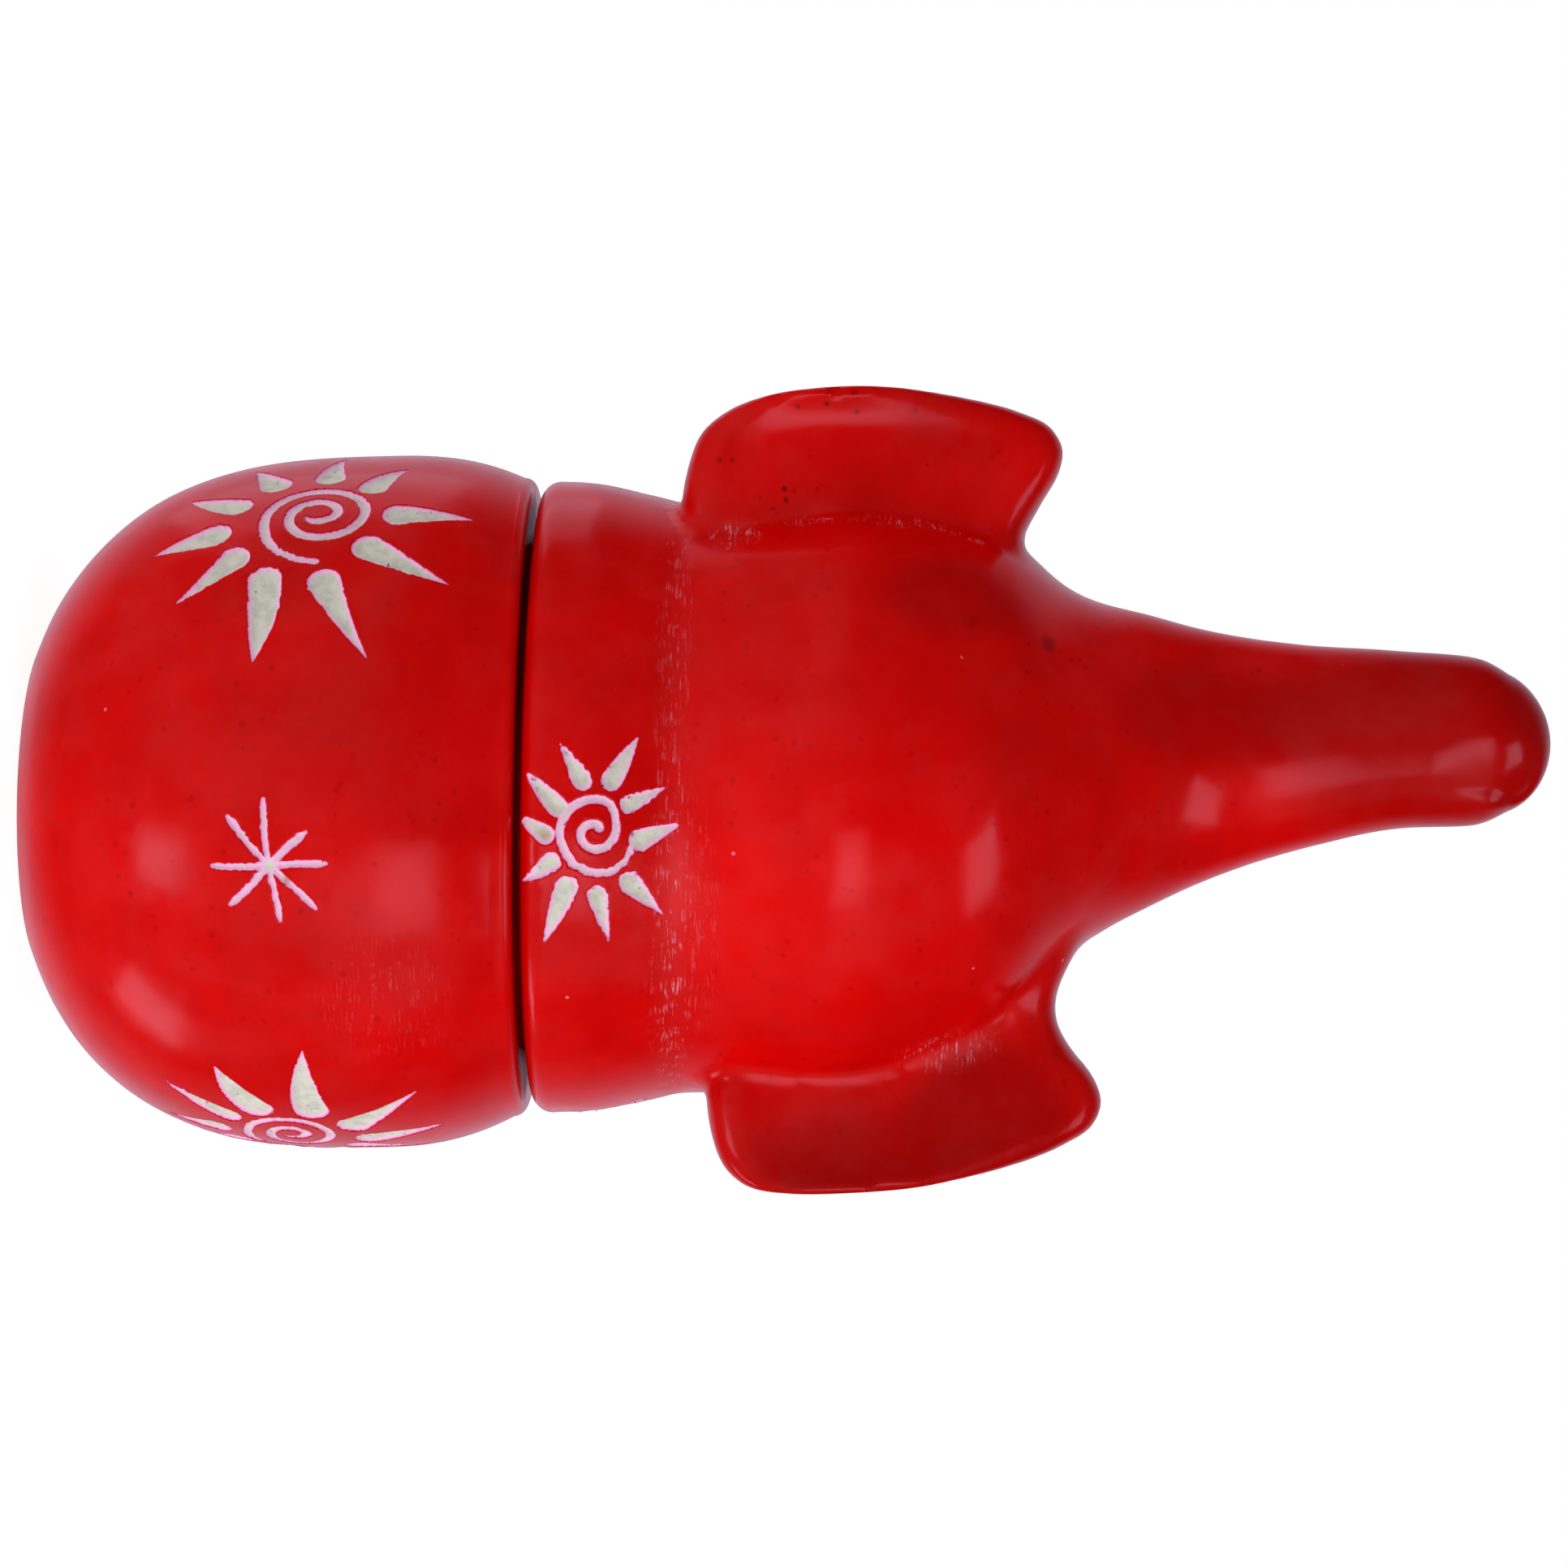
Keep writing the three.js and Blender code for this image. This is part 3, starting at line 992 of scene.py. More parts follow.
    def carve_by_hand(self, bm: bmesh.types.BMesh) -> None:
        """Gives the outside the slow swells that a rasp leaves.

        Args:
            bm: the pot's mesh.
        """
        places, normals = places_of(bm), normals_of(bm)
        radius = np.hypot(places[:, 0] - self.middle(places[:, 2]), places[:, 1])
        outer = radius > self.radius(places[:, 2]) - 1.5
        fade = smoothstep(0, 2.5, places[:, 2]) * smoothstep(self.highest, self.highest - 6, places[:, 2])
        swell = wander(places, 15.0, 1.0) * 0.7 + wander(places, 7.0, 2.0) * 0.3
        offset = (swell + 0.7) * self.sway * fade * outer
        move_to(bm, places + normals * offset[:, None])


@dataclass
class Upright(Skin):
    """A skin before its foot is set off to the side."""

    shape: Skin

    def radius(self, height: np.ndarray) -> np.ndarray:
        """The distance from the centre line at each height."""
        return self.shape.radius(height)

    def middle(self, height: np.ndarray) -> np.ndarray:
        """The centre line, straight up the axis."""
        return np.zeros(np.shape(height))


# ---- The lid ----


@dataclass
class Ear:
    """One ear: a rounded disc drawn out to the ear's outline, dished and thinned to its edge."""

    side: int
    base: float
    neck: float
    neck_radius: float
    lean: float
    reach: float = 37.9
    back: float = 16.0
    length: float = 36.5
    face: float = 13.8
    rise: float = 4.0
    curl: float = 14.0
    droop: float = 2.2
    edge: float = 5.4
    root: float = 10.0
    around: int = 168
    heel: tuple[Point, ...] = (
        (21.5, 0.055), (10.9, -0.005), (5.3, 0.03), (3.0, 0.065), (1.3, 0.135), (0.3, 0.24),
    )
    web: tuple[Point, ...] = ((14.9, 0.885), (21.5, 0.86))

    def rim(self) -> np.ndarray:
        """Runs a smooth closed curve through the ear's knots.

        Returns:
            The outline as (reach, height) rows.
        """
        knots = [
            *self.heel, (0.0, 0.36), (0.1, 0.5), (0.7, 0.66), (1.7, 0.79), (2.8, 0.885), (4.4, 0.968),
            (6.6, 1.0), (8.9, 0.985), (11.7, 0.935), *self.web,
        ]
        low = self.base + self.back
        ring = np.array([(self.reach - inset, low + self.length * up) for inset, up in knots])
        count = len(ring)
        rows = []
        for index in range(count):
            p0, p1, p2, p3 = (ring[(index + k) % count] for k in (-1, 0, 1, 2))
            t01, t12, t23 = (np.linalg.norm(b - a) ** 0.5 for a, b in ((p0, p1), (p1, p2), (p2, p3)))
            m1 = (p1 - p0) / t01 - (p2 - p0) / (t01 + t12) + (p2 - p1) / t12
            m2 = (p2 - p1) / t12 - (p3 - p1) / (t12 + t23) + (p3 - p2) / t23
            m1, m2 = m1 * t12, m2 * t12
            for t in np.linspace(0, 1, 16, endpoint=False):
                rows.append(
                    p1 * (2 * t**3 - 3 * t**2 + 1) + m1 * (t**3 - 2 * t**2 + t)
                    + p2 * (3 * t**2 - 2 * t**3) + m2 * (t**3 - t**2)
                )
        return np.array(rows)

    def disc(self) -> list[Point]:
        """Draws the section of the disc that the ear is made from.

        Returns:
            Pairs of a share of the outline and a share of the thickness.
        """
        flat = [0, 0.14, 0.28, 0.4, 0.5, 0.6, 0.68, 0.75, 0.8]
        below = [(share, -0.5) for share in flat]
        edge = [
            (0.84, -0.494), (0.875, -0.477), (0.91, -0.443), (0.94, -0.39), (0.965, -0.31),
            (0.985, -0.2), (0.997, -0.07), (1, 0.06), (0.998, 0.2), (0.988, 0.32), (0.968, 0.41),
            (0.94, 0.465), (0.9, 0.492), (0.86, 0.499),
        ]
        above = [(share, 0.5) for share in reversed(flat)]
        return below + edge + above

    def build(self) -> bmesh.types.BMesh:
        """Makes the ear.

        Returns:
            Its closed body in millimetres.
        """
        bm = spun(self.disc(), self.around)
        rim = self.rim()
        closed = np.vstack([rim, rim[:1]])
        steps = np.linalg.norm(np.diff(closed, axis=0), axis=1)
        run = np.concatenate([[0], np.cumsum(steps)])
        places = places_of(bm)
        turn = (-self.side * np.arctan2(places[:, 1], places[:, 0]) / math.tau + 1) % 1
        edge = np.stack([np.interp(turn * run[-1], run, closed[:, k]) for k in (0, 1)], 1)
        share = np.hypot(places[:, 0], places[:, 1])
        core = np.array([self.reach - 10, self.base + self.back + self.length * 0.45])
        along = core[0] + (edge[:, 0] - core[0]) * share
        up = core[1] + (edge[:, 1] - core[1]) * share
        start = self.neck_radius - 3
        out = np.clip((along - start) / (self.reach - start), 0, 1)
        tenth = self.base + self.back + self.length * 0.1
        lift = 0.2 * out + 0.8 * out**self.curl
        front = self.face + self.rise * lift - self.droop * (up - tenth) / self.length
        thick = self.root + (self.edge - self.root) * out**0.6
        y = thick * (0.5 + places[:, 2]) - front
        y += self.dish(share, out) * (places[:, 2] < 0)
        x, z = self.side * along, up - self.neck
        turned = np.stack([
            x * math.cos(self.lean) - z * math.sin(self.lean), y,
            x * math.sin(self.lean) + z * math.cos(self.lean) + self.neck,
        ], 1)
        move_to(bm, turned)
        bmesh.ops.recalc_face_normals(bm, faces=bm.faces[:])
        if bm.calc_volume(signed=True) < 0:
            bmesh.ops.reverse_faces(bm, faces=bm.faces[:])
        bmesh.ops.triangulate(bm, faces=bm.faces[:])
        return bm

    def dish(self, share: np.ndarray, out: np.ndarray) -> np.ndarray:
        """How much deeper the face is hollowed behind its raised edge."""
        return 0.25 * smoothstep(0.9, 0.6, share) * smoothstep(0.15, 0.6, out)


# The lower corner of the +X ear, and the web of stone that joins its upper edge to the trunk.
HEEL = ((21.5, 0.04), (10.9, -0.025), (5.4, -0.015), (2.7, 0.012), (1.0, 0.065), (0.2, 0.17))
WEB = ((14.4, 0.895), (16.9, 0.895), (20.0, 0.94), (23.6, 0.985), (27.5, 0.9), (25.5, 0.5))


@dataclass
class Lid(Skin):
    """The elephant's head, its trunk and ears, and the recess that drops over the lip."""

    lowest: float
    highest: float
    lip_top: float
    band_radius: float = 30.75
    band_taper: float = 1.3
    band_rounding: float = 1.9
    neck_radius: float = 28.7
    neck_height: float = 14.5
    crown_depth: float = 30.6
    throat_depth: float = 28.2
    head_length: float = 36.0
    jaw_reach: float = 19.5
    mouth_depth: float = 10.6
    trunk_root: float = 37.0
    trunk_tip: float = 16.0
    trunk_dip: float = 9.5
    trunk_rise: float = 13.0
    tip_underside: float = 1.6
    tip_length: float = 8.3
    tip_fullness: float = 2.4
    head_lean: float = 4.3
    trunk_offset: float = 6.8
    recess_radius: float = 25.15
    seat_clearance: float = 0.3
    hollow_radius: float = 19.0
    hollow_depth: float = 9.0
    hollow_corner: float = 5.0
    eye_drop: float = 1.3
    eye_turn: float = 101.0
    voxel: float = 0.62
    crease: float = 1.5
    crease_passes: int = 9
    armpit: Point = (17.5, -8.0)
    armpit_reach: float = 7.5
    armpit_passes: int = 26
    sway: float = 0.14
    patches: list[Patch] = field(default_factory=list)

    def __post_init__(self) -> None:
        """Works out the levels and the four runs that give the skin."""
        self.neck = self.lowest + self.neck_height
        self.root = self.neck + self.head_length
        self.trunk = self.highest - self.root
        self.lean = math.radians(self.head_lean)
        head, root, trunk = self.head_length, self.root, self.trunk
        band = [
            (self.lowest + 1.6, self.band_radius),
            (self.lowest + self.neck_height * 0.41, self.band_radius - self.band_taper * 0.19),
            (self.lowest + self.neck_height * 0.76, self.band_radius - self.band_taper),
            (self.neck, self.neck_radius),
        ]
        self.half = Flow(band + [
            (self.neck + head * 0.2, self.neck_radius + 0.3),
            (self.neck + head * 0.45, self.neck_radius + 0.2),
            (self.neck + head * 0.68, self.neck_radius - 1.6),
            (self.neck + head * 0.84, self.neck_radius - 4.6),
            (root, self.trunk_root / 2),
            (root + trunk * 0.08, self.trunk_root * 0.435),
            (root + trunk * 0.2, self.trunk_root * 0.375),
            (root + trunk * 0.37, self.trunk_root * 0.305),
            (root + trunk * 0.53, self.trunk_tip * 0.605),
            (root + trunk * 0.7, self.trunk_tip * 0.535),
            (root + trunk * 0.85, self.trunk_tip / 2),
            (root + trunk * 0.91, self.trunk_tip * 0.455),
        ])
        self.top = Flow(band + [
            (self.neck + head * 0.2, self.crown_depth - 1.1),
            (self.neck + head * 0.43, self.crown_depth),
            (self.neck + head * 0.62, self.crown_depth - 1.3),
            (self.neck + head * 0.8, self.crown_depth - 3.4),
            (root, self.crown_depth - 9.5),
            (root + trunk * 0.15, self.trunk_dip + 5.1),
            (root + trunk * 0.28, self.trunk_dip + 1.1),
            (root + trunk * 0.4, self.trunk_dip),
            (root + trunk * 0.55, self.trunk_dip + 0.6),
            (root + trunk * 0.72, self.trunk_rise - 1.3),
            (root + trunk * 0.87, self.trunk_rise),
            (self.highest, self.trunk_rise - 0.6),
        ])
        self.throat = Flow(band + [
            (self.neck + head * 0.25, self.throat_depth + 0.4),
            (self.neck + head * 0.5, self.throat_depth - 0.4),
            (self.neck + head * 0.72, self.throat_depth - 2.8),
            (self.neck + head * 0.88, self.jaw_reach + 3),
            (root, self.jaw_reach),
            (root + trunk * 0.045, self.mouth_depth),
            (root + trunk * 0.13, self.mouth_depth - 0.7),
            (root + trunk * 0.28, self.mouth_depth - 2),
            (root + trunk * 0.45, self.mouth_depth - 3),
            (root + trunk * 0.62, self.tip_underside + 4.4),
            (root + trunk * 0.8, self.tip_underside + 2),
            (root + trunk * 0.92, self.tip_underside),
            (self.highest, self.tip_underside - 1.2),
        ])
        self.line = Flow([
            (self.neck - 5, 0),
            (self.neck, -0.1),
            (self.neck + head * 0.5, -self.lean * head * 0.42),
            (root, -self.lean * head * 1.07),
            (root + trunk * 0.17, -self.trunk_offset * 0.63),
            (root + trunk * 0.34, -self.trunk_offset * 0.76),
            (root + trunk * 0.5, -self.trunk_offset * 0.885),
            (root + trunk * 0.7, -self.trunk_offset),
            (self.highest, -self.trunk_offset * 0.95),
        ])

    def radius(self, height: np.ndarray) -> np.ndarray:
        """The half width at each height, which is the radius on the round band."""
        return self.half(height)

    def middle(self, height: np.ndarray) -> np.ndarray:
        """Where along X the centre line runs at each height."""
        return self.line(height)

    def ring(self, height: np.ndarray) -> tuple[np.ndarray, ...]:
        """The section at each height, an oval whose throat half has a depth of its own.

        Args:
            height: the heights.

        Returns:
            The centre in X and Y, the half width, and the depths to the forehead and throat.
        """
        up, down = self.top(height), self.throat(height)
        middle = (self.eased(height) - up) / 2
        return self.line(height), middle, self.half(height), up + middle, down - middle

    def eased(self, height: np.ndarray) -> np.ndarray:
        """Spreads out the step at the mouth, for a depth to centre the oval by.

        Args:
            height: the heights.

        Returns:
            The throat's eased depth at each.
        """
        height = np.asarray(height, float)
        spread = np.linspace(-1, 1, 9) * 6.5
        return sum(self.throat(height + step) for step in spread) / len(spread)

    def onto_skin(self, places: np.ndarray) -> np.ndarray:
        """Moves points near the head's skin onto it.

        Args:
            places: points close to the skin.

        Returns:
            The points on it.
        """
        height = places[:, 2].copy()
        x0, y0, half, front, back = self.ring(height)
        behind = places[:, 1] > y0
        across = (places[:, 0] - x0) / half
        along = (places[:, 1] - y0) / np.where(behind, back, front)
        share = np.maximum(np.hypot(across, along), 1e-6)
        target = np.ones(len(places))
        tip = self.tip_length
        over = (height - (self.highest - tip)) / tip
        capped = over > 0
        reach = (share**2 + np.clip(over, 0, None) ** self.tip_fullness) ** (1 / 2.2)
        target = np.where(capped, share / reach, target)
        rounding = self.band_rounding / self.band_radius
        under = (self.lowest + self.band_rounding - height) / self.band_radius
        rounded = (under > 0) & (share > 1 - rounding)
        bent = np.hypot(share - 1 + rounding, under)
        target = np.where(rounded, 1 - rounding + (share - 1 + rounding) / bent * rounding, target)
        new_height = np.where(capped, self.highest - tip + over / reach * tip, height)
        lower = self.lowest + self.band_rounding - under / np.maximum(bent, 1e-6) * self.band_rounding
        new_height = np.where(rounded, lower, new_height)
        flat = (share <= 1 - rounding) & (height < self.lowest + 1)
        new_height = np.where(flat, self.lowest, new_height)
        target = np.where(flat, share, target)
        x0, y0, half, front, back = self.ring(new_height)
        depth = np.where(behind, back, front)
        return np.stack([
            x0 + across / share * target * half, y0 + along / share * target * depth, new_height,
        ], 1)

    def head(self) -> bmesh.types.BMesh:
        """Makes the head and trunk, without ears or hollow.

        Returns:
            One closed body in millimetres.
        """
        tip = self.tip_length
        levels = np.linspace(self.lowest + self.band_rounding, self.highest - tip, 130)
        rounding = self.band_rounding / self.band_radius
        corner = np.radians(np.linspace(-90, 0, 6))[:-1]
        outline = [(0.0, self.lowest)]
        outline += [
            (1 - rounding + rounding * math.cos(a), self.lowest + self.band_rounding * (1 + math.sin(a)))
            for a in corner
        ]
        outline += [(1.0, float(level)) for level in levels]
        outline += [
            (math.sqrt(1 - t**self.tip_fullness), self.highest - tip + tip * t)
            for t in np.sin(np.radians(np.linspace(0, 90, 14)))[1:-1]
        ]
        outline.append((0.0, self.highest))
        bm = spun(evenly(outline[:2], 0.08) + outline[2:], 220)
        places = places_of(bm)
        x0, y0, half, front, back = self.ring(places[:, 2])
        places[:, 0] = x0 + places[:, 0] * half
        places[:, 1] = y0 + places[:, 1] * np.where(places[:, 1] > 0, back, front)
        move_to(bm, places)
        bmesh.ops.triangulate(bm, faces=bm.faces[:])
        return bm

    def hollow(self) -> bmesh.types.BMesh:
        """Makes the stepped space under the lid: the recess for the lip and the hollow above.

        Returns:
            The space as a closed body in millimetres.
        """
        ceiling = self.lip_top + self.seat_clearance
        top = ceiling + self.hollow_depth
        corner = (self.hollow_radius - self.hollow_corner, top - self.hollow_corner)
        outline = [
            (0, self.lowest - 2),
            (self.recess_radius + 0.9, self.lowest - 2),
            (self.recess_radius + 0.9, self.lowest - 0.1),
            (self.recess_radius, self.lowest + 0.7),
            (self.recess_radius, ceiling - 0.3),
            (self.recess_radius - 0.3, ceiling),
            (self.hollow_radius + 0.4, ceiling),
            (self.hollow_radius, ceiling + 0.4),
            *quarter(corner, self.hollow_corner, 0, 90, 9),
            (0, top),
        ]
        return spun(outline, 160)

    def joined(self, ears: list[bmesh.types.BMesh], head: bmesh.types.BMesh) -> bpy.types.Object:
        """Joins head and ears into one skin with a voxel remesh.

        Args:
            ears: the ears' closed bodies.
            head: the head's closed body.

        Returns:
            A scratch object in millimetres.
        """
        whole = bmesh.new()
        for part in [head, *ears]:
            scratch = bpy.data.meshes.new("part")
            part.to_mesh(scratch)
            whole.from_mesh(scratch)
            bpy.data.meshes.remove(scratch)
        block = scratch_object(whole, "head_block")
        union = block.modifiers.new("Union", "REMESH")
        union.mode = "VOXEL"
        union.voxel_size = self.voxel
        baked(block)
        return block

    def build(self, material: bpy.types.Material) -> bpy.types.Object:
        """Makes the lid.

        Args:
            material: its finish.

        Returns:
            The finished piece.
        """
        head = self.head()
        ears = [
            Ear(-1, self.lowest, self.neck, self.neck_radius, self.lean).build(),
            Ear(
                1, self.lowest, self.neck, self.neck_radius, self.lean, heel=HEEL, web=WEB,
            ).build(),
        ]
        ear_trees = [BVHTree.FromBMesh(ear) for ear in ears]
        block = self.joined(ears, head)
        bm = bmesh.new()
        bm.from_mesh(block.data)
        self.smooth_onto(bm, ear_trees)
        self.shape_tip(bm)
        block = refilled(block, bm)
        self.cut_hollow(block)
        bm = bmesh.new()
        bm.from_mesh(block.data)
        bpy.data.objects.remove(block)
        bmesh.ops.triangulate(bm, faces=bm.faces[:])
        return self.decorate(bm, ear_trees, material)

    def smooth_onto(self, bm: bmesh.types.BMesh, ear_trees: list[BVHTree]) -> None:
        """Takes the voxel steps out: skin and ears go back to their true surfaces.

        Args:
            bm: the remeshed block.
            ear_trees: the ears' surfaces.
        """
        bmesh.ops.smooth_vert(
            bm, verts=bm.verts[:], factor=0.5, use_axis_x=True, use_axis_y=True, use_axis_z=True,
        )
        places = places_of(bm)
        on_skin = self.onto_skin(places)
        skin_gap = np.linalg.norm(on_skin - places, axis=1)
        ear_gap, on_ear = nearest_on(ear_trees, places)
        skin = (skin_gap < 0.8) & (ear_gap > self.crease)
        ear = (ear_gap < 0.8) & (skin_gap > self.crease)
        places[skin] = on_skin[skin]
        places[ear] = on_ear[ear]
        move_to(bm, places)
        valley = [vertex for vertex, a, b in zip(bm.verts, skin, ear) if not (a or b)]
        self.relax(bm, valley, self.crease_passes)
        armpit = Vector((*self.armpit, self.root + 0.5))
        near = [vertex for vertex in bm.verts if (vertex.co - armpit).length < self.armpit_reach]
        self.relax(bm, near, self.armpit_passes)

    def relax(self, bm: bmesh.types.BMesh, verts: list, times: int) -> None:
        """Smooths some vertices a number of times.

        Args:
            bm: the mesh.
            verts: the vertices.
            times: how many times.
        """
        for _ in range(times):
            bmesh.ops.smooth_vert(
                bm, verts=verts, factor=0.5, use_axis_x=True, use_axis_y=True, use_axis_z=True,
            )

    def shape_tip(self, bm: bmesh.types.BMesh) -> None:
        """Flattens the front of the trunk's end down to a low ridge along its +X side.

        Args:
            bm: the smoothed block.
        """
        def at_tip(place: Vector) -> bool:
            """Whether a place is on the front of the trunk's end."""
            return place.z > self.highest - 13 and place.y < -7.5 and -12 < place.x < 1.5

        finer(bm, at_tip)
        places = places_of(bm)
        fresh = np.array([at_tip(vertex.co) for vertex in bm.verts])
        places[fresh] = self.onto_skin(places[fresh])
        share = smoothstep(self.highest - 7.5, self.highest - 2, places[:, 2])
        across = places[:, 0] - (-1.4 + 0.9 * share)
        depth = smoothstep(-7.5, -1.6, across) * smoothstep(0.7, -1.2, across)
        depth *= smoothstep(self.highest - 12.5, self.highest - 7, places[:, 2])
        depth *= smoothstep(self.highest - 0.8, self.highest - 2.8, places[:, 2])
        ridge = 0.1 * np.exp(-(((across - 0.8) / 0.6) ** 2))
        ridge *= smoothstep(self.highest - 9, self.highest - 6, places[:, 2])
        ridge *= smoothstep(self.highest - 1.5, self.highest - 3, places[:, 2])
        facing = smoothstep(-7.5, -9.5, places[:, 1])
        places[:, 1] += (0.8 * depth - ridge) * facing
        move_to(bm, places)

    def cut_hollow(self, block: bpy.types.Object) -> None:
        """Cuts the recess and the hollow out of the block.

        Args:
            block: the scratch object that holds the head.
        """
        cutter = scratch_object(self.hollow(), "hollow_cutter")
        cut = block.modifiers.new("Hollow", "BOOLEAN")
        cut.operation = "DIFFERENCE"
        cut.solver = "EXACT"
        cut.object = cutter
        baked(block)
        bpy.data.objects.remove(cutter)

    def ornaments(self) -> list[Ornament]:
        """Four small suns round the band."""
        turns = ((5.5, 55.2), (95.5, 55.6), (186.0, 55.8), (-104.5, 56.0))
        return [Ornament(tuple(LID_SUN), angle, height, 13) for angle, height in turns]

    def decorate(
        self, bm: bmesh.types.BMesh, ear_trees: list[BVHTree], material: bpy.types.Material,
    ) -> bpy.types.Object:
        """Cuts the suns and eyes and finishes the lid.

        Args:
            bm: the lid's mesh of triangles.
            ear_trees: the ears' surfaces.
            material: the finish.

        Returns:
            The finished piece.
        """
        suns = Gouge(self, self.ornaments(), depth=0.38)
        eyes = [EyeGouge(self, [], place=self.eye(side)) for side in (-1, 1)]
        for gouge in (suns, *eyes):
            gouge.refine(bm)
        worn = [patch for patch in self.patches if patch.kind is Mark.WORN]
        finer(bm, lambda place: any(patch.covers(place) for patch in worn))
        bmesh.ops.triangulate(bm, faces=bm.faces[:])
        places = places_of(bm)
        on_skin = self.onto_skin(places)
        skin_gap = np.linalg.norm(on_skin - places, axis=1)
        ear_gap, _ = nearest_on(ear_trees, places)
        hollow = np.hypot(places[:, 0], places[:, 1]) < self.recess_radius + 1.2
        hollow &= places[:, 2] < self.lip_top + self.hollow_depth + 1
        skin = (skin_gap < 0.25) & (ear_gap > self.crease * 1.2) & ~hollow
        skin &= places[:, 2] < self.neck + 1
        places[skin] = on_skin[skin]
        move_to(bm, places)
        self.carve_by_hand(bm, ~hollow)
        normals = normals_of(bm)
        cut = suns.cut(bm, normals)
        for gouge in eyes:
            cut = np.maximum(cut, gouge.cut(bm, normals))
        return finish_piece(
            bm, "elephant_lid_carved", cut, self.patches, material, "elephant_lid", "lid",
        )

    def eye(self, side: int) -> tuple[Vector, Matrix]:
        """Where an eye sits, and the frame of its chart.

        Args:
            side: -1 or 1 for the eye towards -X or +X.

        Returns:
            The centre, and a matrix whose columns run across, up and outwards.
        """
        height = self.root - self.eye_drop
        turn = math.radians(self.eye_turn)
        levels = (height, height + 1.0)
        spot, over = (self.behind(level, side, turn) for level in levels)
        up = (over - spot).normalized()
        flat = (self.behind(height, side, turn + 0.05) - spot).normalized()
        out = flat.cross(up).normalized()
        return spot, Matrix((flat, up, out)).transposed()

    def behind(self, height: float, side: int, turn: float) -> Vector:
        """A place on the skin behind its widest point, by height and turn from the forehead."""
        x0, y0, half, _, back = (float(value) for value in self.ring(np.array(height)))
        return Vector((x0 + side * half * math.sin(turn), y0 - back * math.cos(turn), height))

    def carve_by_hand(self, bm: bmesh.types.BMesh, outer: np.ndarray) -> None:
        """Gives the outside the slow swells that a rasp leaves.

        Args:
            bm: the lid's mesh.
            outer: which vertices are on the outside.
        """
        places, normals = places_of(bm), normals_of(bm)
        fade = smoothstep(self.lowest, self.lowest + 3, places[:, 2])
        fade *= smoothstep(self.highest, self.highest - 4, places[:, 2])
        free = smoothstep(self.lowest + 8, self.lowest + 16, places[:, 2])
        swell = wander(places, 13.0, 8.0) * 0.7 + wander(places, 6.5, 9.0) * 0.3
        offset = (swell + 0.5) * self.sway * (0.5 + free) * fade * outer
        move_to(bm, places + normals * offset[:, None])


@dataclass
class EyeGouge(Gouge):
    """Cuts one small eye on a flat chart of its own."""

    depth: float = 0.3
    place: tuple[Vector, Matrix] = field(default_factory=lambda: (Vector(), Matrix.Identity(3)))

    def inside(self, points: np.ndarray) -> np.ndarray:
        """How far each point lies inside the eye's marks.

        Args:
            points: places in millimetres.

        Returns:
            Millimetres inside, negative outside, -FAR where the eye isn't near.
        """
        centre, chart = self.place
        local = (points - np.array(centre)) @ np.array(chart)
        near = (np.hypot(local[:, 0], local[:, 1]) < 3.2) & (np.abs(local[:, 2]) < 2.5)
        best = np.full(len(points), -FAR)
        for mark in EYE:
            value = mark.inside(local[near, 0], local[near, 1])
            best[near] = np.maximum(best[near], value)
        return best


def finer(bm: bmesh.types.BMesh, wanted: Callable[[Vector], bool]) -> None:
    """Halves the edges in one region.

    Args:
        bm: a mesh.
        wanted: tells whether a place is in the region.
    """
    chosen = [edge for edge in bm.edges if all(wanted(vertex.co) for vertex in edge.verts)]
    bmesh.ops.subdivide_edges(bm, edges=chosen, cuts=1, use_grid_fill=True)
    many = [face for face in bm.faces if len(face.verts) > 4]
    bmesh.ops.triangulate(bm, faces=many)


def nearest_on(trees: list[BVHTree], places: np.ndarray) -> tuple[np.ndarray, np.ndarray]:
    """Finds the nearest point on any of several surfaces.

    Args:
        trees: the surfaces.
        places: the points to look from.

    Returns:
        The distance and the nearest point for each.
    """
    gaps = np.full(len(places), 99.0)
    found = places.copy()
    for tree in trees:
        for index, place in enumerate(places):
            hit, _, _, gap = tree.find_nearest(Vector(place), 4.0)
            if hit is not None and gap < gaps[index]:
                gaps[index] = gap
                found[index] = hit
    return gaps, found


def scratch_object(bm: bmesh.types.BMesh, name: str) -> bpy.types.Object:
    """Puts a bmesh into a linked object that is removed later.

    Args:
        bm: the mesh, which is used up.
        name: the object's name.

    Returns:
        The object.
    """
    mesh = bpy.data.meshes.new(name)
    bm.to_mesh(mesh)
    bm.free()
    made = bpy.data.objects.new(name, mesh)
    bpy.context.scene.collection.objects.link(made)
    return made


def baked(piece: bpy.types.Object) -> None:
    """Replaces an object's mesh by what its modifiers make of it, and drops them.

    Args:
        piece: the object.
    """
    graph = bpy.context.evaluated_depsgraph_get()
    made = bpy.data.meshes.new_from_object(piece.evaluated_get(graph))
    piece.modifiers.clear()
    piece.data = made


def refilled(piece: bpy.types.Object, bm: bmesh.types.BMesh) -> bpy.types.Object:
    """Gives an object the mesh in a bmesh.

    Args:
        piece: the object.
        bm: the mesh, which is used up.

    Returns:
        The same object.
    """
    bm.to_mesh(piece.data)
    bm.free()
    return piece


# ---- The studio ----


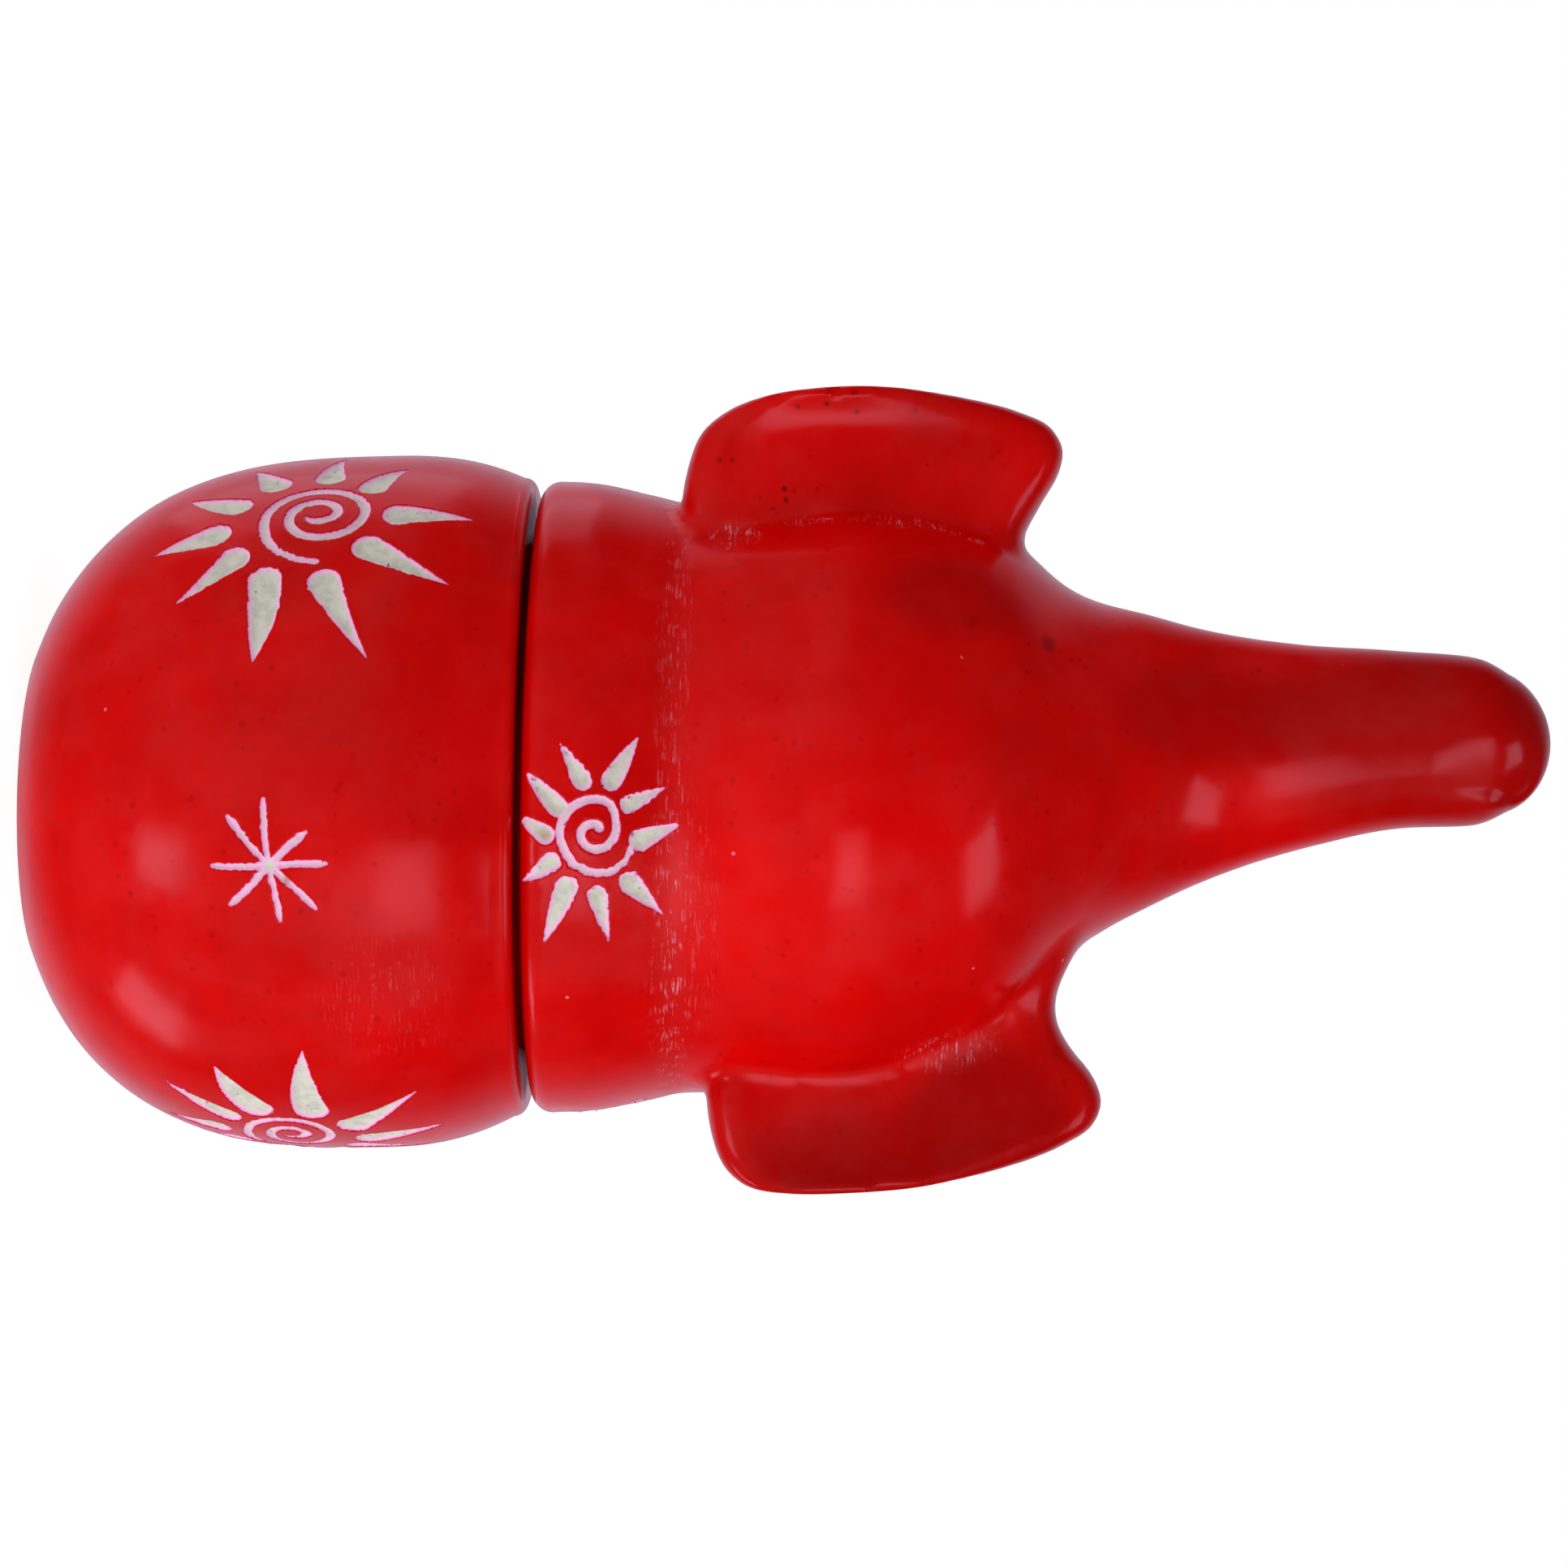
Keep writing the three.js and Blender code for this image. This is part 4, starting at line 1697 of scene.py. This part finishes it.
@dataclass(frozen=True)
class Panel:
    """One soft light, facing the jar."""

    name: str
    toward: Place
    distance: float
    width: float
    height: float
    radiance: float
    seen_by_gloss: bool

    def build(self, target: Vector) -> None:
        """Makes the light.

        Args:
            target: what it faces.
        """
        lamp = bpy.data.lights.new(self.name, "AREA")
        lamp.shape = "RECTANGLE"
        lamp.size = self.width
        lamp.size_y = self.height
        lamp.energy = self.radiance * math.pi * self.width * self.height
        made = bpy.data.objects.new(self.name, lamp)
        way = Vector(self.toward).normalized()
        made.location = target + way * self.distance
        made.rotation_mode = "QUATERNION"
        made.rotation_quaternion = way.to_track_quat("Z", "Y")
        lamp.color = (0.95, 0.78, 1.0) if self.seen_by_gloss else (1.0, 1.0, 1.0)
        made.visible_glossy = self.seen_by_gloss
        made.visible_diffuse = not self.seen_by_gloss
        made.visible_camera = False
        bpy.context.scene.collection.objects.link(made)


@dataclass
class Studio:
    """The pale floor, the soft lights and the camera."""

    foot: float
    floor_reach: float = 2.5
    floor_glow: float = 0.94
    camera_distance: float = 0.39725
    camera_aside: float = -0.00161
    camera_height: float = 0.07207
    view_width: float = 0.1535
    roll: float = 0.9
    sensor: float = 36.0
    panels: tuple[Panel, ...] = (
        Panel("key", (0.74, -0.64, 0.05), 0.8, 0.7, 0.7, 2.0, False),
        Panel("window", (0.46, -0.88, 0.10), 0.8, 0.26, 0.20, 1.0, True),
        Panel("window_frame", (0.48, -0.87, 0.10), 0.81, 0.44, 0.34, 1.25, True),
        Panel("window_low", (0.26, -0.62, -0.74), 0.8, 0.18, 0.24, 3.4, True),
        Panel("window_side", (0.74, 0.02, -0.67), 0.8, 0.20, 0.28, 2.7, True),
        Panel("window_high", (0.44, -0.44, 0.78), 0.8, 0.36, 0.34, 2.4, True),
        Panel("wall", (-0.84, 0.50, -0.24), 0.8, 0.46, 0.46, 0.65, True),
    )

    def build(self) -> None:
        """Makes the whole studio."""
        self.make_floor()
        self.make_world()
        for panel in self.panels:
            panel.build(Vector((0, 0, self.camera_height)))
        self.make_camera()

    def make_floor(self) -> None:
        """A wide pale floor at the foot, softly lit from below like a light table."""
        bm = bmesh.new()
        bmesh.ops.create_circle(bm, cap_ends=True, segments=96, radius=self.floor_reach)
        bmesh.ops.translate(bm, vec=(0, 0, self.foot - 0.0002), verts=bm.verts[:])
        mesh = bpy.data.meshes.new("pale_floor")
        bm.to_mesh(mesh)
        bm.free()
        paper = bpy.data.materials.new("pale_paper")
        tree = Tree(paper)
        matt = tree.node("ShaderNodeBsdfDiffuse", {"Color": (0.3, 0.3, 0.3, 1)})
        glow = tree.node("ShaderNodeEmission", {"Color": (1, 1, 1, 1), "Strength": self.floor_glow})
        both = tree.node("ShaderNodeAddShader", {0: matt.outputs[0], 1: glow.outputs[0]})
        tree.node("ShaderNodeOutputMaterial", {"Surface": both.outputs[0]})
        paper.cycles.emission_sampling = "NONE"
        mesh.materials.append(paper)
        floor = bpy.data.objects.new("pale_floor", mesh)
        floor.visible_glossy = False
        floor.visible_shadow = False
        bpy.context.scene.collection.objects.link(floor)

    def make_world(self) -> None:
        """White surroundings that are dim on the side the jar is looked at from."""
        world = bpy.data.worlds.new("studio")
        bpy.context.scene.world = world
        tree = Tree(world)
        way = tree.node("ShaderNodeTexCoord").outputs["Generated"]
        part = tree.node("ShaderNodeSeparateXYZ", {0: way})
        behind = tree.band(part.outputs[1], 0.28, 0.95, 0.004, 0.62)
        path = tree.node("ShaderNodeLightPath")
        gloss = tree.node("ShaderNodeBackground", {"Color": (0.95, 0.78, 1, 1), "Strength": behind})
        soft = tree.node("ShaderNodeBackground", {"Color": (1, 1, 1, 1), "Strength": 0.44})
        white = tree.node("ShaderNodeBackground", {"Color": (1, 1, 1, 1), "Strength": 1.0})
        shiny = path.outputs["Is Glossy Ray"]
        first = tree.node("ShaderNodeMixShader", {0: shiny, 1: soft.outputs[0], 2: gloss.outputs[0]})
        seen = path.outputs["Is Camera Ray"]
        last = tree.node("ShaderNodeMixShader", {0: seen, 1: first.outputs[0], 2: white.outputs[0]})
        tree.node("ShaderNodeOutputWorld", {"Surface": last.outputs[0]})
        world.cycles.sampling_method = "NONE"

    def make_camera(self) -> None:
        """A camera in front of the forehead, rolled so that the jar lies on its side."""
        data = bpy.data.cameras.new("camera")
        data.sensor_width = self.sensor
        data.lens = self.sensor * self.camera_distance / self.view_width
        camera = bpy.data.objects.new("camera", data)
        lean = math.radians(self.roll)
        right = Vector((-math.sin(lean), 0, math.cos(lean)))
        up = Vector((-math.cos(lean), 0, -math.sin(lean)))
        turn = Matrix((right, up, right.cross(up))).transposed().to_4x4()
        spot = Vector((self.camera_aside, -self.camera_distance, self.camera_height))
        camera.matrix_world = Matrix.Translation(spot) @ turn
        bpy.context.scene.collection.objects.link(camera)
        bpy.context.scene.camera = camera


def pot_wear_and_painted_light() -> list[Patch]:
    """Says where the pot is scratched, speckled and stained, and where light and shade are painted on as
    lighter and darker red.

    Returns:
        The patches.
    """
    return [
        Patch(Mark.RUB, (18.5, -28.0, 36.0), (9.0, 9.0, 8.0), 0.15),
        Patch(Mark.RUB, (24.0, 22.0, 20.0), (12.0, 12.0, 9.0), 0.3),
        # The next three patches are painted light and painted shade as lighter and darker red, partly the
        # dye's own unevenness.
        Patch(Mark.PAINTED_LIGHT_AND_TONE, (4.0, -26.0, 16.0), (40.0, 22.0, 13.0), 0.2),
        Patch(Mark.PAINTED_LIGHT_AND_TONE, (-8.0, -28.0, 37.0), (26.0, 22.0, 13.0), -0.2),
        Patch(Mark.PAINTED_LIGHT_AND_TONE, (30.0, -12.0, 26.0), (14.0, 20.0, 30.0), -0.35),
        Patch(Mark.SPECK, (4.0, -20.0, 25.0), (40.0, 40.0, 40.0), 0.35),
        Patch(Mark.STAIN, (7.6, -32.0, 27.6), (0.75, 2.0, 0.55), 0.75),
    ]


def lid_wear_and_painted_light() -> list[Patch]:
    """Says where the lid is scratched, speckled and stained, and where light and shade are painted on as
    lighter and darker red.

    Returns:
        The patches.
    """
    return [
        Patch(Mark.RUB, (23.2, -13.0, 87.5), (2.6, 3.5, 6.0), 1.0),
        Patch(Mark.WORN, (22.6, -12.6, 89.0), (1.0, 2.2, 4.2), 0.8),
        Patch(Mark.RUB, (-24.8, -15.4, 67.0), (2.8, 3.0, 3.2), 1.0),
        Patch(Mark.WORN, (-24.6, -15.6, 67.0), (1.7, 3.0, 1.9), 0.85),
        Patch(Mark.WORN, (-26.5, -14.4, 76.0), (0.7, 1.5, 4.6), 0.95),
        Patch(Mark.WORN, (-24.8, -14.4, 89.8), (0.8, 1.5, 3.6), 0.95),
        Patch(Mark.RUB, (-26.0, -14.6, 80.0), (1.6, 1.6, 12.0), 0.7),
        Patch(Mark.RUB, (4.0, -16.0, 61.8), (38.0, 22.0, 2.6), 0.85),
        Patch(Mark.RUB, (11.0, -26.0, 63.0), (16.0, 22.0, 4.5), 0.22),
        Patch(Mark.WORN, (-1.0, -12.6, 141.0), (0.7, 2.0, 2.6), 0.8),
        Patch(Mark.WORN, (-7.4, -28.8, 69.7), (0.32, 1.0, 0.32), 1.0),
        Patch(Mark.WORN, (-2.7, -30.0, 86.0), (0.3, 1.6, 0.3), 1.0),
        Patch(Mark.WORN, (33.1, -16.0, 90.2), (0.5, 1.6, 0.5), 0.95),
        Patch(Mark.SPECK, (-33.0, -13.0, 76.0), (9.0, 6.0, 15.0), 1.0),
        Patch(Mark.SPECK, (0.0, 0.0, 90.0), (60.0, 60.0, 70.0), 0.35),
        # The next ten patches are painted light and painted shade as lighter and darker red, partly the
        # dye's own unevenness; they lighten the front of the neck and brow and darken the ears and trunk.
        Patch(Mark.PAINTED_LIGHT_AND_TONE, (0.0, -30.0, 66.0), (34.0, 26.0, 8.0), 0.4),
        Patch(Mark.PAINTED_LIGHT_AND_TONE, (8.0, -28.0, 80.0), (22.0, 20.0, 20.0), 0.4),
        Patch(Mark.PAINTED_LIGHT_AND_TONE, (28.0, -14.0, 93.0), (9.0, 11.0, 11.0), -0.8),
        Patch(Mark.PAINTED_LIGHT_AND_TONE, (-26.0, -20.0, 74.0), (8.0, 12.0, 16.0), 0.3),
        Patch(Mark.PAINTED_LIGHT_AND_TONE, (-7.0, -10.0, 142.0), (20.0, 20.0, 33.0), -1.0),
        Patch(Mark.PAINTED_LIGHT_AND_TONE, (-9.0, -12.0, 112.0), (8.0, 14.0, 16.0), -0.55),
        Patch(Mark.PAINTED_LIGHT_AND_TONE, (-37.0, -13.0, 90.0), (7.0, 14.0, 14.0), -0.4),
        Patch(Mark.PAINTED_LIGHT_AND_TONE, (36.0, -13.0, 84.0), (12.0, 14.0, 27.0), -0.8),
        Patch(Mark.PAINTED_LIGHT_AND_TONE, (-18.5, -20.0, 87.0), (7.0, 12.0, 13.0), -0.6),
        Patch(Mark.PAINTED_LIGHT_AND_TONE, (-15.0, -18.6, 96.5), (1.1, 2.6, 1.0), -1.0),
        Patch(Mark.STAIN, (3.3, -30.2, 50.6), (0.8, 2.0, 0.7), 0.55),
    ]


def main() -> None:
    """Builds the pot, the lid and the studio."""
    logging.basicConfig(level=logging.INFO, format="%(name)s %(message)s")
    bpy.context.scene.view_settings.view_transform = "Standard"
    pot_low, pot_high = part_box("jar_pot")
    lid_low, lid_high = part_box("elephant_lid")
    finish = DyedStone()
    pot = Pot(patches=pot_wear_and_painted_light())
    pot.build(finish.material("red_soapstone_pot"))
    lid = Lid(lid_low[2] / MM, lid_high[2] / MM, pot_high[2] / MM, patches=lid_wear_and_painted_light())
    lid.build(finish.material("red_soapstone_lid"))
    Studio(pot_low[2]).build()


if __name__ == "__main__":
    main()
